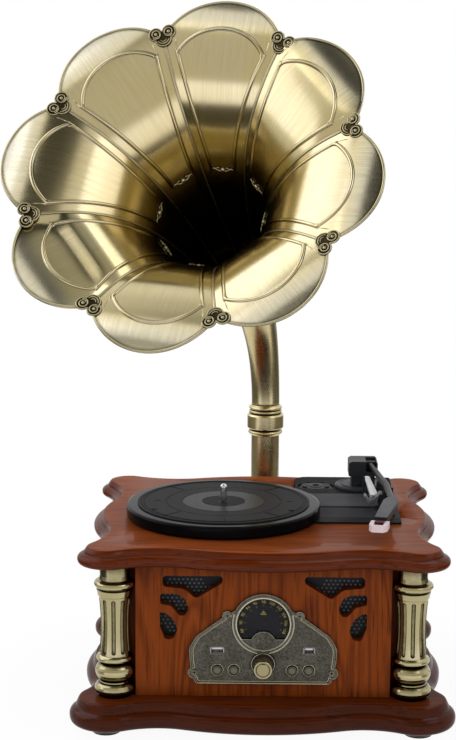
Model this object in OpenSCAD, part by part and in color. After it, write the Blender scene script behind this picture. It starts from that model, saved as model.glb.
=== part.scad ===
// Table-top horn gramophone: a serpentine wooden cabinet on brass feet, four turned brass columns,
// a belt-driven platter with its arm on top, and an eight-petal brass horn on a pipe at the back.
// Millimetres. +X right, +Y away from the front, +Z up. The origin is on the table, under the
// middle of the cabinet.

/* [Cabinet] */
// Half distance between the column axes, left to right
column_x = 148; // [140:1:170]
// Half distance between the column axes, front to back
column_y = 131; // [125:1:150]
// Height of the columns and of the panels between base and top
column_h = 136.5; // [125:0.5:170]
// Thickness of the moulded base
plinth_h = 26.5; // [20:0.5:34]
// Thickness of the moulded top
top_h = 18; // [14:0.5:24]
// How much wider the base is than the top, on each side
plinth_grow = 9; // [4:0.5:14]
// Radius of the corner lobes of the top
lobe_r = 29.3; // [27:0.1:33]
// How far outside the column axis the centre of a lobe lies, along X and along Y
lobe_out = 6; // [3:0.5:9]
// How far the middle of the front swells past the column axes
front_swell = 38; // [35:0.5:44]
// How far the middle of each side swells past the column axes
side_swell = 31; // [28:0.5:36]
// How far the hollow of the front lies outside the column axes
front_hollow = 22.5; // [18:0.5:26]
// How far the hollow of each side lies outside the column axes
side_hollow = 18; // [15:0.5:22]
// Radius of the hollows beside the lobes
hollow_r = 83; // [70:1:95]
// Thickness of the wooden panels
panel_t = 12; // [9:0.5:15]
// Width of the notch that clears each column, from its axis
notch = 21; // [20.8:0.1:23]
// Distance from the column axis out to the face of a panel
panel_out = 5; // [2:0.5:8]

/* [Feet and columns] */
// Radius of a brass foot
foot_r = 18; // [14:0.5:22]
// Height of a foot, with its pad
foot_h = 10; // [8:0.5:14]
// Thickness of the felt pad under a foot
pad_t = 2; // [1:0.5:3]
// Distance from the column axis out to the axis of its foot
foot_out = 8; // [4:0.5:12]
// Radius of the widest ring of a column
column_r = 20.4; // [19:0.1:20.6]
// Radius of a column's shaft at its ends
shaft_r = 15.9; // [14:0.1:17]
// How much the shaft narrows at its waist
waist_in = 2; // [1:0.1:3]
// Number of flutes round a shaft
flutes = 10; // [8:1:12]
// Radius of the tool that cuts a flute
flute_r = 2.1; // [1.5:0.1:2.3]

/* [Front] */
// Height of the dial's centre above the base
dial_up = 75.7; // [72:0.1:80]
// Radius of the ring round the dial
dial_ring_r = 31; // [30:0.1:33]
// Radius of the dial's window
dial_r = 26.4; // [24:0.1:27.5]
// Height of the volume knob's axis above the base
knob_up = 34.5; // [33:0.1:36]
// Radius of the volume knob
knob_r = 9.3; // [8:0.1:10.5]
// Length of the volume knob
knob_len = 17; // [12:0.5:20]
// Radius of a push button
button_r = 4.8; // [4:0.1:5.4]
// Travel of a push button
button_travel = 2; // [1:0.1:2.5]
// Height of the buttons above the base
button_up = 28; // [26:0.5:30]
// Distance of the inner buttons from the middle
button_in = 28.9; // [27:0.1:31]
// Distance of the outer buttons from the middle
button_far = 45.6; // [44:0.1:48]
// Height of the two sockets above the base
socket_up = 48; // [46:0.5:50]
// Distance of the two sockets from the middle
socket_x = 45.8; // [44:0.1:48]
// Thickness of the metal plate on the front
plate_t = 2.2; // [1.5:0.1:3]
// Height of the raised edge of that plate
plate_rim = 1.2; // [0.6:0.1:1.6]
// Radius of a speaker
speaker_r = 36; // [34:0.5:38]
// Distance of a speaker's axis from the middle
speaker_x = 78; // [77:0.5:78.5]
// Height of a speaker's axis above the base
speaker_up = 90; // [86:0.5:94]
// Radius of a hole in the speaker grilles
grille_hole_r = 1.1; // [0.8:0.1:1.3]
// Distance between holes of the speaker grilles
grille_pitch = 4.4; // [4.2:0.1:5]

/* [Turntable] */
// Distance of the spindle left of the middle
spindle_left = 43; // [40:1:46]
// Distance of the spindle in front of the middle
spindle_front = 15; // [12:1:18]
// Radius of the platter
platter_r = 101.5; // [96:0.5:104]
// Height of the platter's rim
rim_h = 11.2; // [10:0.1:14]
// Radius of the mat
mat_r = 90; // [84:0.5:93]
// Thickness of the mat
mat_t = 1.2; // [0.8:0.1:2]
// Radius of the spindle that takes the record's hole
spindle_r = 3.6; // [3.5:0.05:3.6]
// Height of the spindle above the mat
spindle_up = 18.8; // [15:0.1:20]
// Radius of the ring that the belt runs on
belt_ring_r = 60; // [54:1:66]
// Radius of the motor's pulley
pulley_r = 4; // [3.5:0.1:5]
// Distance of the motor's axis from the spindle
motor_off = 80; // [78:1:84]
// Width of the drive belt
belt_w = 4; // [3:0.5:4.5]
// Thickness of the deck's plastic plate above the wood
deck_t = 2; // [1.5:0.1:3]
// Right edge of the deck plate
deck_right = 142; // [138:1:146]
// Back edge of the deck plate
deck_back = 151; // [146:1:153]
// Front edge of the deck plate, in front of the middle
deck_front = 47; // [40:1:60]
// Where the wide part of the deck plate begins, right of the middle
deck_left = 34; // [30:1:36]
// Radius of the adapter for large-hole records
adapter_r = 19.05; // [18.9:0.05:19.1]

/* [Tone arm] */
// Distance of the arm's pivot right of the middle
arm_x = 107; // [105:1:109]
// Distance of the arm's pivot behind the middle
arm_y = 108; // [106:1:112]
// Radius of the arm's base
arm_base_r = 29; // [26:0.5:30]
// Height of the arm's tilt axis above the deck plate
arm_up = 25; // [24:0.5:28]
// Radius of the arm's tube
arm_r = 3.5; // [3:0.1:3.8]
// Radius of the pivot post
post_r = 4; // [3.5:0.1:5]

/* [Horn] */
// Distance of the stand pipe behind the middle
pipe_y = 190; // [188:1:196]
// Outer radius of the stand pipe
pipe_r = 16; // [14:0.1:16.5]
// Wall of the stand pipe
pipe_wall = 2.5; // [2:0.1:3]
// Height of the pipe's flange on the back panel above the base
flange_up = 81.5; // [78:0.5:90]
// Height of the top of the stand pipe
pipe_top = 259.5; // [255:0.5:266]
// Radius of the bend of the neck
neck_bend = 165; // [160:1:170]
// Elevation of the horn's axis, in degrees
horn_elev = 33.5; // [31:0.5:36]
// How far the horn points left of straight ahead, in degrees
horn_turn = 14.9; // [5:0.1:20]
// Length of the horn from its throat to the ring of rosettes
horn_len = 270; // [260:1:280]
// Radius of the circle that the rosettes sit on
ring_r = 164.2; // [158:0.1:168]
// Distance from the axis to the tip of a petal
tip_r = 195.5; // [190:0.5:200]
// Half width across flats of the horn's throat
throat_a = 26; // [25:0.1:28]
// Thickness of the horn's brass sheet
sheet_t = 1.1; // [0.9:0.1:1.5]
// Height of the embossed bead on each petal
bead_h = 1.2; // [0.6:0.1:2]
// Distance of the embossed bead from the seam
bead_in = 11.7; // [10:0.1:13]
// How far the brim rolls back at the tip of a petal
brim_roll = 12.7; // [9:0.1:15]

/* [Hidden] */

// Fits: a running fit turns freely, a gap keeps two moving pieces apart
run_fit = 0.05;
gap = 0.4;
eps = 0.01;
round_fn = 48;

brass = "#b5a05a";
wood = "#8a4520";
black = "#26262a";
grey = "#5b5d62";
steel = "#c4c6c8";
cream = "#e6dfcf";

// Levels
z_plinth = foot_h;
z_panel = z_plinth + plinth_h;
z_under = z_panel + column_h;
z_top = z_under + top_h;
z_deck = z_top + deck_t;
z_rim = z_deck + 0.8;
z_platter = z_rim + rim_h;
z_mat = z_platter + mat_t;
z_arm = z_deck + arm_up;

// The outlines of top and base: a swell in the middle of each side, a hollow beside it and a
// round lobe at each corner, all tangent. A distance d moves the whole outline outwards.
lobe_x = column_x + lobe_out;
lobe_y = column_y + lobe_out;
side_far = column_x + side_swell;
front_far = column_y + front_swell;
side_floor = column_x + side_hollow;
front_floor = column_y + front_hollow;
reach = lobe_r + hollow_r;

function hollow_along(lobe_along, lobe_across, floor_) =
    lobe_along - sqrt(reach * reach - pow(floor_ + hollow_r - lobe_across, 2));
function swell_radius(along, floor_, far) =
    (along * along + pow(floor_ + hollow_r - far, 2) - hollow_r * hollow_r) / (2 * (far - floor_));
function arc(c, r, a0, a1, n) =
    [for (i = [0:n]) c + r * [cos(a0 + (a1 - a0) * i / n), sin(a0 + (a1 - a0) * i / n)]];
function but_last(list) = [for (i = [0:len(list) - 2]) list[i]];
function flip(list) = [for (i = [len(list) - 1:-1:0]) list[i]];

side_hollow_c = [side_floor + hollow_r, hollow_along(lobe_y, lobe_x, side_floor)];
front_hollow_c = [hollow_along(lobe_x, lobe_y, front_floor), front_floor + hollow_r];
side_swell_r = swell_radius(side_hollow_c[1], side_floor, side_far);
front_swell_r = swell_radius(front_hollow_c[0], front_floor, front_far);
side_swell_c = [side_far - side_swell_r, 0];
front_swell_c = [0, front_far - front_swell_r];
side_a = atan2(side_hollow_c[1], side_hollow_c[0] - side_swell_c[0]);
lobe_a0 = atan2(side_hollow_c[1] - lobe_y, side_hollow_c[0] - lobe_x);
lobe_a1 = atan2(front_hollow_c[1] - lobe_y, front_hollow_c[0] - lobe_x);
front_a = atan2(front_hollow_c[1] - front_swell_c[1], front_hollow_c[0]);

function quarter(d) = concat(
    but_last(arc(side_swell_c, side_swell_r + d, 0, side_a, 3)),
    but_last(arc(side_hollow_c, hollow_r - d, 180 + side_a, 180 + lobe_a0, 4)),
    but_last(arc([lobe_x, lobe_y], lobe_r + d, lobe_a0, lobe_a1, 9)),
    but_last(arc(front_hollow_c, hollow_r - d, 180 + lobe_a1, 180 + front_a, 4)),
    arc(front_swell_c, front_swell_r + d, front_a, 90, 4));
function mirror_x(list) = [for (p = flip(list)) [-p[0], p[1]]];
function half(d) = concat(but_last(quarter(d)), mirror_x(quarter(d)));
function outline(d) = concat(but_last(half(d)), [for (p = but_last(half(d))) -p]);

// The moulded edge, from its underside up: share of the thickness, distance outwards
moulding = [[0, -4.5], [0.1, -1], [0.27, 0.8], [0.42, 0.8], [0.6, -2.6], [0.66, -6.2],
    [0.82, -7], [0.95, -8.2], [1, -9.4]];

module moulded_board(z0, h, grow) {
    rings = [for (m = moulding) [z0 + m[0] * h, outline(m[1] + grow)]];
    n = len(rings[0][1]);
    last = len(rings) - 1;
    middle = (last + 1) * n;
    polyhedron(
        points = concat([for (ring = rings) for (p = ring[1]) [p[0], p[1], ring[0]]], [[0, 0, z0], [0, 0, z0 + h]]),
        faces = concat(
            [for (i = [0:n - 1]) [i, (i + 1) % n, middle]],
            [for (i = [0:n - 1]) [last * n + (i + 1) % n, last * n + i, middle + 1]],
            [for (k = [0:last - 1]) for (i = [0:n - 1])
                [k * n + i, (k + 1) * n + i, (k + 1) * n + (i + 1) % n, k * n + (i + 1) % n]]),
        convexity = 6);
}

// A polygon with each corner rounded to the radius in the third number of its point
function unit(v) = v / norm(v);
function corner(a, b, c, r, n = 4) =
    let (u = unit(a - b), v = unit(c - b), turn = acos(max(-1, min(1, u * v))),
        cut = r / tan(turn / 2), centre = b + unit(u + v) * r / sin(turn / 2),
        p = b + u * cut, q = b + v * cut, a0 = atan2(p[1] - centre[1], p[0] - centre[0]),
        a1 = atan2(q[1] - centre[1], q[0] - centre[0]),
        sweep = a1 - a0 > 180 ? a1 - a0 - 360 : a1 - a0 < -180 ? a1 - a0 + 360 : a1 - a0)
    [for (i = [0:n]) centre + r * [cos(a0 + sweep * i / n), sin(a0 + sweep * i / n)]];
function xy(p) = [p[0], p[1]];
function rounded(pts) = [for (i = [0:len(pts) - 1])
    let (n = len(pts), b = pts[i], a = xy(pts[(i + n - 1) % n]), c = xy(pts[(i + 1) % n]))
    for (q = b[2] > 0 ? corner(a, xy(b), c, b[2]) : [xy(b)]) q];

module at_corners(x, y) {
    for (sx = [-1, 1]) {
        for (sy = [-1, 1]) {
            translate([sx * x, sy * y, 0]) children();
        }
    }
}

// Turns a shape drawn in X and Z so that it stands on a face that looks to the front
module on_front(y) {
    translate([0, y, 0]) rotate([90, 0, 0]) children();
}

// Cabinet

foot_x = column_x + foot_out;
foot_y = column_y + foot_out;
cable_hole_r = 12;

module base_plinth() {
    color(wood) difference() {
        moulded_board(z_plinth, plinth_h, plinth_grow);
        translate([0, 0, z_plinth - eps]) cylinder(r = cable_hole_r, h = plinth_h + 2 * eps, $fn = round_fn);
    }
}

module feet() {
    color(brass) at_corners(foot_x, foot_y) {
        translate([0, 0, pad_t]) rotate_extrude($fn = round_fn) polygon(concat(
            [[0, foot_h - pad_t], [0, 0]],
            arc([foot_r - 3, 3], 3, -90, 0, 5),
            [[foot_r, foot_h - pad_t - 2], [foot_r - 1.5, foot_h - pad_t - 1], [foot_r - 1.5, foot_h - pad_t]]));
    }
}

module foot_pads() {
    color(black) at_corners(foot_x, foot_y) cylinder(r = foot_r - 4, h = pad_t, $fn = round_fn);
}

front_y = -(column_y + panel_out);
side_x = column_x + panel_out;
panel_half = column_x - notch;
side_half = column_y - notch;
dial_z = z_panel + dial_up;
knob_z = z_panel + knob_up;
button_z = z_panel + button_up;
socket_z = z_panel + socket_up;
speaker_z = z_panel + speaker_up;
flange_z = z_panel + flange_up;

// The three openings before each speaker, drawn from its axis for the right side: x, z, corner
wing = [[22.3, 34, 4], [-37.3, 34, 3], [-37.2, 27.2, 3], [-10.6, 10.4, 5], [0.5, 20.6, 12], [22.3, 22.8, 4]];
bean = [[24.7, 15.6, 3], [24.6, 4.9, 2.5], [14, 3, 8], [5.5, -7, 3], [0.2, -7, 3], [-4, -0.2, 5],
    [0.8, 12, 7], [10, 15.6, 8]];
drop = [[24.9, -3.6, 1.5], [24.7, -19, 8], [19.5, -32.2, 4], [11, -31, 5], [7.2, -21, 8], [12, -9.6, 10],
    [20, -4.2, 3]];

module cut_out_shapes() {
    translate([speaker_x, speaker_z]) {
        for (shape = [wing, bean, drop]) {
            polygon(rounded(shape));
        }
    }
}

module both_sides() {
    children();
    mirror([1, 0, 0]) children();
}

module panel_tray(half_w, h) {
    difference() {
        translate([-half_w, 0, 0]) cube([2 * half_w, notch + panel_out, h]);
        translate([-half_w + panel_t, panel_t, -eps]) cube([2 * (half_w - panel_t), notch + panel_out, h + 2 * eps]);
    }
}

button_xs = [-button_far, -button_in, button_in, button_far];
stem_r = 3;
knob_shaft_r = 3;
socket_w = 13.4;
socket_h = 6.6;
card_w = 11;

module front_panel() {
    color(wood) difference() {
        translate([0, front_y, z_panel]) panel_tray(panel_half, column_h);
        on_front(front_y + panel_t + eps) linear_extrude(panel_t + 2 * eps) {
            both_sides() cut_out_shapes();
            translate([0, dial_z]) circle(r = dial_r - 1, $fn = round_fn);
            translate([0, knob_z]) circle(r = knob_shaft_r + 2, $fn = round_fn);
            for (x = button_xs) {
                translate([x, button_z]) circle(r = stem_r + 1, $fn = round_fn);
            }
            for (s = [-1, 1]) {
                translate([s * socket_x, socket_z]) square([socket_w + 1, socket_h + 1], center = true);
            }
        }
        on_front(front_y + button_travel + 0.4) linear_extrude(button_travel + 0.4 + eps) for (x = button_xs)
            translate([x, button_z]) circle(r = button_r + 0.3, $fn = round_fn);
        for (p = [screw_low, screw_high]) {
            for (s = [-1, 1]) {
                translate([s * p[0], front_y - eps, z_panel + p[1]]) rotate([-90, 0, 0])
                    cylinder(r = screw_r + 0.02, h = panel_t / 2 + 0.2, $fn = 24);
            }
        }
    }
}

jack_x = [-70, -50];
inlet_x = -95;
rear_z = z_panel + 30;
jack_r = 5;
inlet_r = 5.5;

module back_panel() {
    color(wood) difference() {
        translate([0, -front_y, z_panel]) mirror([0, 1, 0]) panel_tray(panel_half, column_h);
        on_front(-front_y + eps) linear_extrude(panel_t + 2 * eps) {
            for (x = jack_x) {
                translate([x, rear_z]) circle(r = jack_r, $fn = round_fn);
            }
            translate([inlet_x, rear_z]) circle(r = inlet_r, $fn = round_fn);
            translate([0, flange_z]) circle(r = pipe_r - pipe_wall, $fn = round_fn);
        }
    }
}

module side_panel(side) {
    inner = panel_half - panel_t;
    color(wood) translate([0, 0, z_panel]) mirror([side < 0 ? 1 : 0, 0, 0]) difference() {
        translate([inner, -side_half, 0]) cube([side_x - inner, 2 * side_half, column_h]);
        translate([inner - eps, -side_half + panel_t, -eps])
            cube([side_x - inner - panel_t + eps, 2 * (side_half - panel_t), column_h + 2 * eps]);
    }
}

motor_x = motor_off - spindle_left;
bearing_r = 8;
axle_r = 3.9;
motor_hole_r = 12;
switch_x = deck_right - 8;
switch_y = -16;
adapter_x = 57;
adapter_y = 106;
adapter_pocket = 6;

module top_plate() {
    color(wood) difference() {
        moulded_board(z_under, top_h, 0);
        translate([-spindle_left, -spindle_front, z_under - eps])
            cylinder(r = bearing_r, h = top_h + 2 * eps, $fn = round_fn);
        translate([motor_x, -spindle_front, z_under - eps])
            cylinder(r = motor_hole_r, h = top_h + 2 * eps, $fn = round_fn);
        translate([arm_x, arm_y, z_under - eps])
            cylinder(r = post_r + 6, h = top_h + 2 * eps, $fn = round_fn);
        translate([adapter_x, adapter_y, z_top - adapter_pocket])
            cylinder(r = adapter_r + 1.5, h = adapter_pocket + eps, $fn = round_fn);
        translate([switch_x, switch_y, z_top - 5]) cylinder(r = 6, h = 5 + eps, $fn = round_fn);
    }
}

// Columns

neck_share = 0.87;
torus_share = 0.845;
ring_share = 0.80;
shaft_top_share = 0.757;
shaft_foot_share = 0.305;
low_ring_share = 0.262;
bulb_share = 0.105;
shaft_top = column_h * shaft_top_share;
shaft_foot = column_h * shaft_foot_share;
shaft_half = (shaft_top - shaft_foot) / 2;
shaft_mid = (shaft_top + shaft_foot) / 2;
waist_r = shaft_r - waist_in;
waist_arc_r = (shaft_half * shaft_half + waist_in * waist_in) / (2 * waist_in);
waist_a = asin(shaft_half / waist_arc_r);

module column() {
    z_neck = column_h * neck_share;
    z_torus = column_h * torus_share;
    z_ring = column_h * ring_share;
    z_low = column_h * low_ring_share;
    z_bulb = column_h * bulb_share;
    torus_r = (z_neck - z_torus) * 1.1;
    difference() {
        rotate_extrude($fn = round_fn) polygon(concat(
            [[0, column_h], [0, 0], [column_r - 3, 0]],
            arc([column_r - z_bulb / 2 + 0.5, z_bulb / 2], z_bulb / 2 - 0.5, -80, 80, 8),
            [[column_r - 5, z_bulb - 0.2], [column_r - 5, z_bulb + 1]],
            arc([column_r - 10.5, (z_bulb + z_low) / 2], (z_low - z_bulb) / 2 - 1, -70, 70, 10),
            [[shaft_r + 0.6, z_low]],
            arc([shaft_r - 0.2, (z_low + shaft_foot) / 2], (shaft_foot - z_low) / 2, -85, 70, 6),
            [[shaft_r, shaft_foot + 0.6]],
            arc([waist_r + waist_arc_r, shaft_mid], waist_arc_r, 180 + waist_a * 0.97, 180 - waist_a * 0.97, 12),
            [[shaft_r, shaft_top - 0.6], [shaft_r + 1, shaft_top]],
            [[shaft_r + 2.1, z_ring], [shaft_r + 1, z_ring + 1]],
            arc([column_r - torus_r, (z_ring + z_neck) / 2 + 1], torus_r, -75, 80, 8),
            [[shaft_r - 0.6, z_neck + 1], [shaft_r - 1.2, z_neck + 5], [shaft_r - 1, column_h - 4],
                [shaft_r, column_h - 3], [shaft_r, column_h]]));
        for (k = [0:flutes - 1]) {
            rotate([0, 0, (k + 0.5) * 360 / flutes]) flute();
        }
    }
}

// One flute: a tube bent like the waist of the shaft, with round ends
flute_margin = 5;
flute_ease = 0.1;
flute_a = waist_a * (shaft_half - flute_margin) / shaft_half;

module flute() {
    translate([waist_r + waist_arc_r, 0, shaft_mid]) rotate([90, 0, 0]) {
        rotate_extrude(angle = 2 * flute_a, start = 180 - flute_a, $fn = round_fn)
            translate([waist_arc_r, 0]) circle(r = flute_r, $fn = 24);
        for (s = [-1, 1]) {
            rotate([0, 0, 180 + s * flute_a]) translate([waist_arc_r, 0, 0]) sphere(r = flute_r + flute_ease, $fn = 24);
        }
    }
}

module column_at(sx, sy) {
    color(brass) translate([sx * column_x, sy * column_y, z_panel]) column();
}

// Speakers, dial and controls

grille_t = 1.2;
grille_reach = 31;

module speaker_grilles() {
    rows = floor(grille_reach * 2 / (grille_pitch * 0.866));
    color(black) both_sides() on_front(front_y + panel_t + grille_t) linear_extrude(grille_t) difference() {
        translate([speaker_x - speaker_r, speaker_z - speaker_r]) square(2 * speaker_r);
        for (j = [0:rows]) {
            for (i = [-8:8]) {
                x = (i + (j % 2) / 2) * grille_pitch;
                z = (j - rows / 2) * grille_pitch * 0.866;
                if (norm([x, z]) < grille_reach) {
                    translate([speaker_x + x, speaker_z + z]) circle(r = grille_hole_r, $fn = 16);
                }
            }
        }
    }
}

module speakers() {
    depth = 28;
    color(grey) both_sides() translate([speaker_x, front_y + panel_t + grille_t, speaker_z]) rotate([-90, 0, 0]) {
        rotate_extrude($fn = round_fn) polygon([[speaker_r, 0], [speaker_r, 2], [speaker_r - 4, 2],
            [18, depth - 10], [18, depth], [0, depth], [0, depth - 6], [8, depth - 8], [speaker_r - 9, 6],
            [speaker_r - 6, 3.5], [speaker_r - 4, 0]]);
    }
}

screw_low = [68.4, 25.3];
screw_high = [35.8, 84.2];

// Right half of the metal plate's edge, from the middle of its foot up to the dial: x, height
// above the base, corner radius
plate_edge = [[67.5, 14, 4], [70.5, 24, 3], [72.6, 36, 6], [73.6, 50, 12], [66.5, 63, 14], [52, 73.8, 10],
    [40, 82.5, 3], [27, 90, 3]];
plate_middle = [0, 45];

function plate_point(p, inset, side) =
    let (v = xy(p) - plate_middle, q = xy(p) - unit(v) * inset * 1.3)
    [side * q[0], q[1], max(p[2] - inset * 0.5, 0.6)];

// A flat disc drawn as a polygon, so that it joins the plate's straight edges cleanly
module disc(c, r, n) {
    polygon(but_last(arc(c, r, 2, 362, n)));
}

module plate_shape(inset) {
    translate([0, z_panel]) {
        polygon(rounded(concat(
            [for (p = plate_edge) plate_point(p, inset, 1)],
            [for (p = flip(plate_edge)) plate_point(p, inset, -1)])));
        disc([0, dial_up], dial_ring_r - inset, 56);
        for (s = [-1, 1]) {
            disc([s * screw_low[0], screw_low[1]], 6.4 - inset, 24);
            disc([s * screw_high[0], screw_high[1]], 4.8 - inset, 20);
        }
    }
}

window_floor = -15.5;
window_bump = 12.5;

module window_shape(inset) {
    translate([0, dial_z]) difference() {
        disc([0, 0], dial_r - inset, 56);
        translate([-40, -60]) square([80, 60 + window_floor + inset]);
        disc([0, window_floor - 4.6], window_bump + inset, 32);
    }
}

module escutcheon() {
    face = plate_t + plate_rim;
    color("#77715f") difference() {
        on_front(front_y) linear_extrude(face) plate_shape(0);
        on_front(front_y - plate_t) linear_extrude(face) {
            difference() {
                plate_shape(1.8);
                translate([0, z_panel]) disc([0, dial_up], dial_ring_r, 56);
            }
            translate([0, knob_z]) circle(r = collar_r + 0.5, $fn = round_fn);
        }
        on_front(front_y + eps) linear_extrude(face + 1) {
            window_shape(0);
            translate([0, knob_z]) circle(r = knob_shaft_r + 1.5, $fn = round_fn);
            for (x = button_xs) {
                translate([x, button_z]) circle(r = button_r + gap / 2, $fn = round_fn);
            }
            translate([-socket_x, socket_z]) square([socket_w, socket_h], center = true);
            translate([socket_x, socket_z]) square([card_w, socket_h], center = true);
            for (p = [screw_low, screw_high]) {
                for (s = [-1, 1]) {
                    translate([s * p[0], z_panel + p[1]]) circle(r = screw_r, $fn = 24);
                }
            }
        }
    }
}

screw_r = 1.4;

module escutcheon_screws() {
    color(steel) for (p = [screw_low, screw_high]) {
        for (s = [-1, 1]) {
            translate([s * p[0], front_y, z_panel + p[1]]) rotate([90, 0, 0]) difference() {
                union() {
                    translate([0, 0, plate_t]) cylinder(r = 2.6, h = 1.1, $fn = 24);
                    translate([0, 0, -panel_t / 2]) cylinder(r = screw_r, h = plate_t + panel_t / 2 + eps, $fn = 24);
                }
                translate([0, 0, plate_t + 1]) cube([4, 0.7, 1.2], center = true);
                translate([0, 0, plate_t + 1]) cube([0.7, 4, 1.2], center = true);
            }
        }
    }
}

window_t = 1;

module dial_window() {
    color("#dfe7ee", 0.35) on_front(front_y - plate_t + 1.6) linear_extrude(window_t) window_shape(0.1);
}

module dial_plate() {
    color(black) {
        on_front(front_y) linear_extrude(0.4) window_shape(0.1);
        on_front(front_y + panel_t) linear_extrude(panel_t) translate([0, dial_z])
            circle(r = dial_r - 1.2, $fn = round_fn);
    }
}

board_t = 1.6;
board_y = front_y + panel_t + 6;
knob_depth = panel_t + 6 + board_t + 4;

module volume_knob() {
    grips = 24;
    base = plate_t + 3;
    color(brass) translate([0, front_y, knob_z]) rotate([90, 0, 0]) difference() {
        union() {
            translate([0, 0, base]) rotate_extrude($fn = round_fn) polygon(concat(
                [[0, knob_len], [0, 0], [knob_r - 0.6, 0], [knob_r, 0.8]],
                arc([knob_r - 1.4, knob_len - 1.4], 1.4, 0, 60, 4),
                [[knob_r - 2, knob_len - 0.4], [knob_r - 2.6, knob_len - 0.8], [knob_r - 3.4, knob_len]]));
            translate([0, 0, -knob_depth]) cylinder(r = knob_shaft_r, h = base + knob_depth + 1, $fn = round_fn);
        }
        for (k = [0:grips - 1]) {
            rotate([0, 0, k * 360 / grips]) translate([knob_r + 0.35, 0, base + 2])
                cylinder(r = 0.7, h = knob_len - 5, $fn = 16);
        }
    }
}

collar_r = 12;

module knob_collar() {
    color(black) translate([0, front_y - plate_t, knob_z]) rotate([90, 0, 0])
        rotate_extrude($fn = round_fn) polygon([[knob_shaft_r + 0.3, 0], [collar_r, 0],
            [collar_r, 1.2], [collar_r - 1.4, 2.4], [knob_shaft_r + 0.3, 2.4]]);
}

pot_r = 8;

module control_board() {
    color("#2f6a3a") difference() {
        union() {
            translate([-58, board_y, z_panel + 18]) cube([116, board_t, 42]);
            translate([0, board_y + board_t, knob_z]) rotate([-90, 0, 0]) cylinder(r = pot_r, h = 8, $fn = round_fn);
            for (x = button_xs) {
                translate([x, board_y, button_z]) rotate([90, 0, 0]) cylinder(r = 2.6, h = 2, $fn = 24);
            }
            for (s = [-1, 1]) {
                translate([s * 54, front_y + panel_t - eps, z_panel + 21]) rotate([-90, 0, 0])
                    cylinder(r = 3, h = 6 + 2 * eps, $fn = 24);
            }
        }
        translate([0, board_y - 1, knob_z]) rotate([-90, 0, 0])
            cylinder(r = knob_shaft_r + run_fit, h = board_t + 7, $fn = round_fn);
    }
}

button_face = plate_t + 2.6;

module button(k) {
    color("#a5a293") translate([button_xs[k], front_y, button_z]) rotate([90, 0, 0]) {
        rotate_extrude($fn = round_fn) polygon(concat([[0, button_face], [0, 0], [button_r, 0]],
            arc([button_r - 1, button_face - 1], 1, 0, 90, 4)));
        translate([0, 0, -panel_t - 6 + 2 + button_travel + 0.3])
            cylinder(r = stem_r, h = panel_t + 6 - 2 - button_travel, $fn = round_fn);
    }
}

module socket_at(x, w, tongue) {
    depth = panel_t + 6 - 0.2;
    color(steel) translate([x, front_y - 0.8, socket_z]) rotate([-90, 0, 0]) {
        difference() {
            translate([-w / 2, -socket_h / 2, 0]) cube([w, socket_h, depth + 0.8]);
            translate([-w / 2 + 0.6, -socket_h / 2 + 0.6, -eps]) cube([w - 1.2, socket_h - 1.2, depth - 3]);
        }
        translate([-tongue / 2, -socket_h / 2 + 1.1, 1]) cube([tongue, 1.6, depth - 3]);
    }
}

module usb_socket() {
    socket_at(-socket_x, socket_w - 0.2, 11);
}

module card_socket() {
    socket_at(socket_x, card_w - 0.2, 8);
}

// Turntable

module at_spindle(z) {
    translate([-spindle_left, -spindle_front, z]) children();
}

deck_under_r = platter_r - 8;
recess_r = adapter_r + 1;

module deck_shape() {
    difference() {
        union() {
            polygon(rounded([[deck_right, -deck_front, 3], [deck_right, deck_back, 3], [deck_left, deck_back, 14],
                [deck_left, -deck_front, 0]]));
            translate([-spindle_left, -spindle_front]) circle(r = deck_under_r, $fn = 96);
        }
        translate([-spindle_left, -spindle_front]) circle(r = bearing_r + 2, $fn = round_fn);
        translate([motor_x, -spindle_front]) circle(r = motor_hole_r, $fn = round_fn);
        translate([arm_x, arm_y]) circle(r = post_r + 6, $fn = round_fn);
        translate([switch_x, switch_y]) square([5, 17], center = true);
    }
}

module deck_plate() {
    groove = 0.8;
    color(black) difference() {
        translate([0, 0, z_top]) linear_extrude(deck_t) deck_shape();
        translate([adapter_x, adapter_y, z_top - eps]) cylinder(r = recess_r, h = deck_t + 2 * eps, $fn = round_fn);
        translate([deck_left + 6, 13.5, z_deck - groove]) cube([deck_right - deck_left - 20, 2, groove + eps]);
        translate([deck_left + 6, 75, z_deck - groove]) cube([40, 1.2, groove + eps]);
    }
}

module platter() {
    hub_r = 11;
    skin = 2;
    lip = 3.5;
    color(grey) at_spindle(0) difference() {
        rotate_extrude($fn = 96) polygon([[axle_r + run_fit, z_platter], [axle_r + run_fit, z_rim + 1],
            [hub_r, z_rim + 1], [hub_r + 1, z_platter - skin], [belt_ring_r - 2, z_platter - skin],
            [belt_ring_r - 2, z_rim + 2], [belt_ring_r, z_rim + 2], [belt_ring_r, z_platter - skin],
            [platter_r - lip, z_platter - skin], [platter_r - lip, z_rim], [platter_r, z_rim],
            [platter_r, z_platter - 2.4], [platter_r - 0.8, z_platter - 0.8], [platter_r - 2.4, z_platter - 0.2],
            [mat_r + 2, z_platter], [mat_r + 1, z_platter]]);
    }
}

module slip_mat() {
    grooves = [22, 43, 60];
    color(black) at_spindle(z_platter) difference() {
        cylinder(r = mat_r, h = mat_t, $fn = 96);
        translate([0, 0, -eps]) cylinder(r = spindle_r + 0.6, h = mat_t + 2 * eps, $fn = round_fn);
        for (r = grooves) {
            translate([0, 0, mat_t - 0.4]) difference() {
                cylinder(r = r + 0.4, h = 1, $fn = 96);
                translate([0, 0, -eps]) cylinder(r = r - 0.4, h = 1 + 2 * eps, $fn = 96);
            }
        }
    }
}

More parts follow.
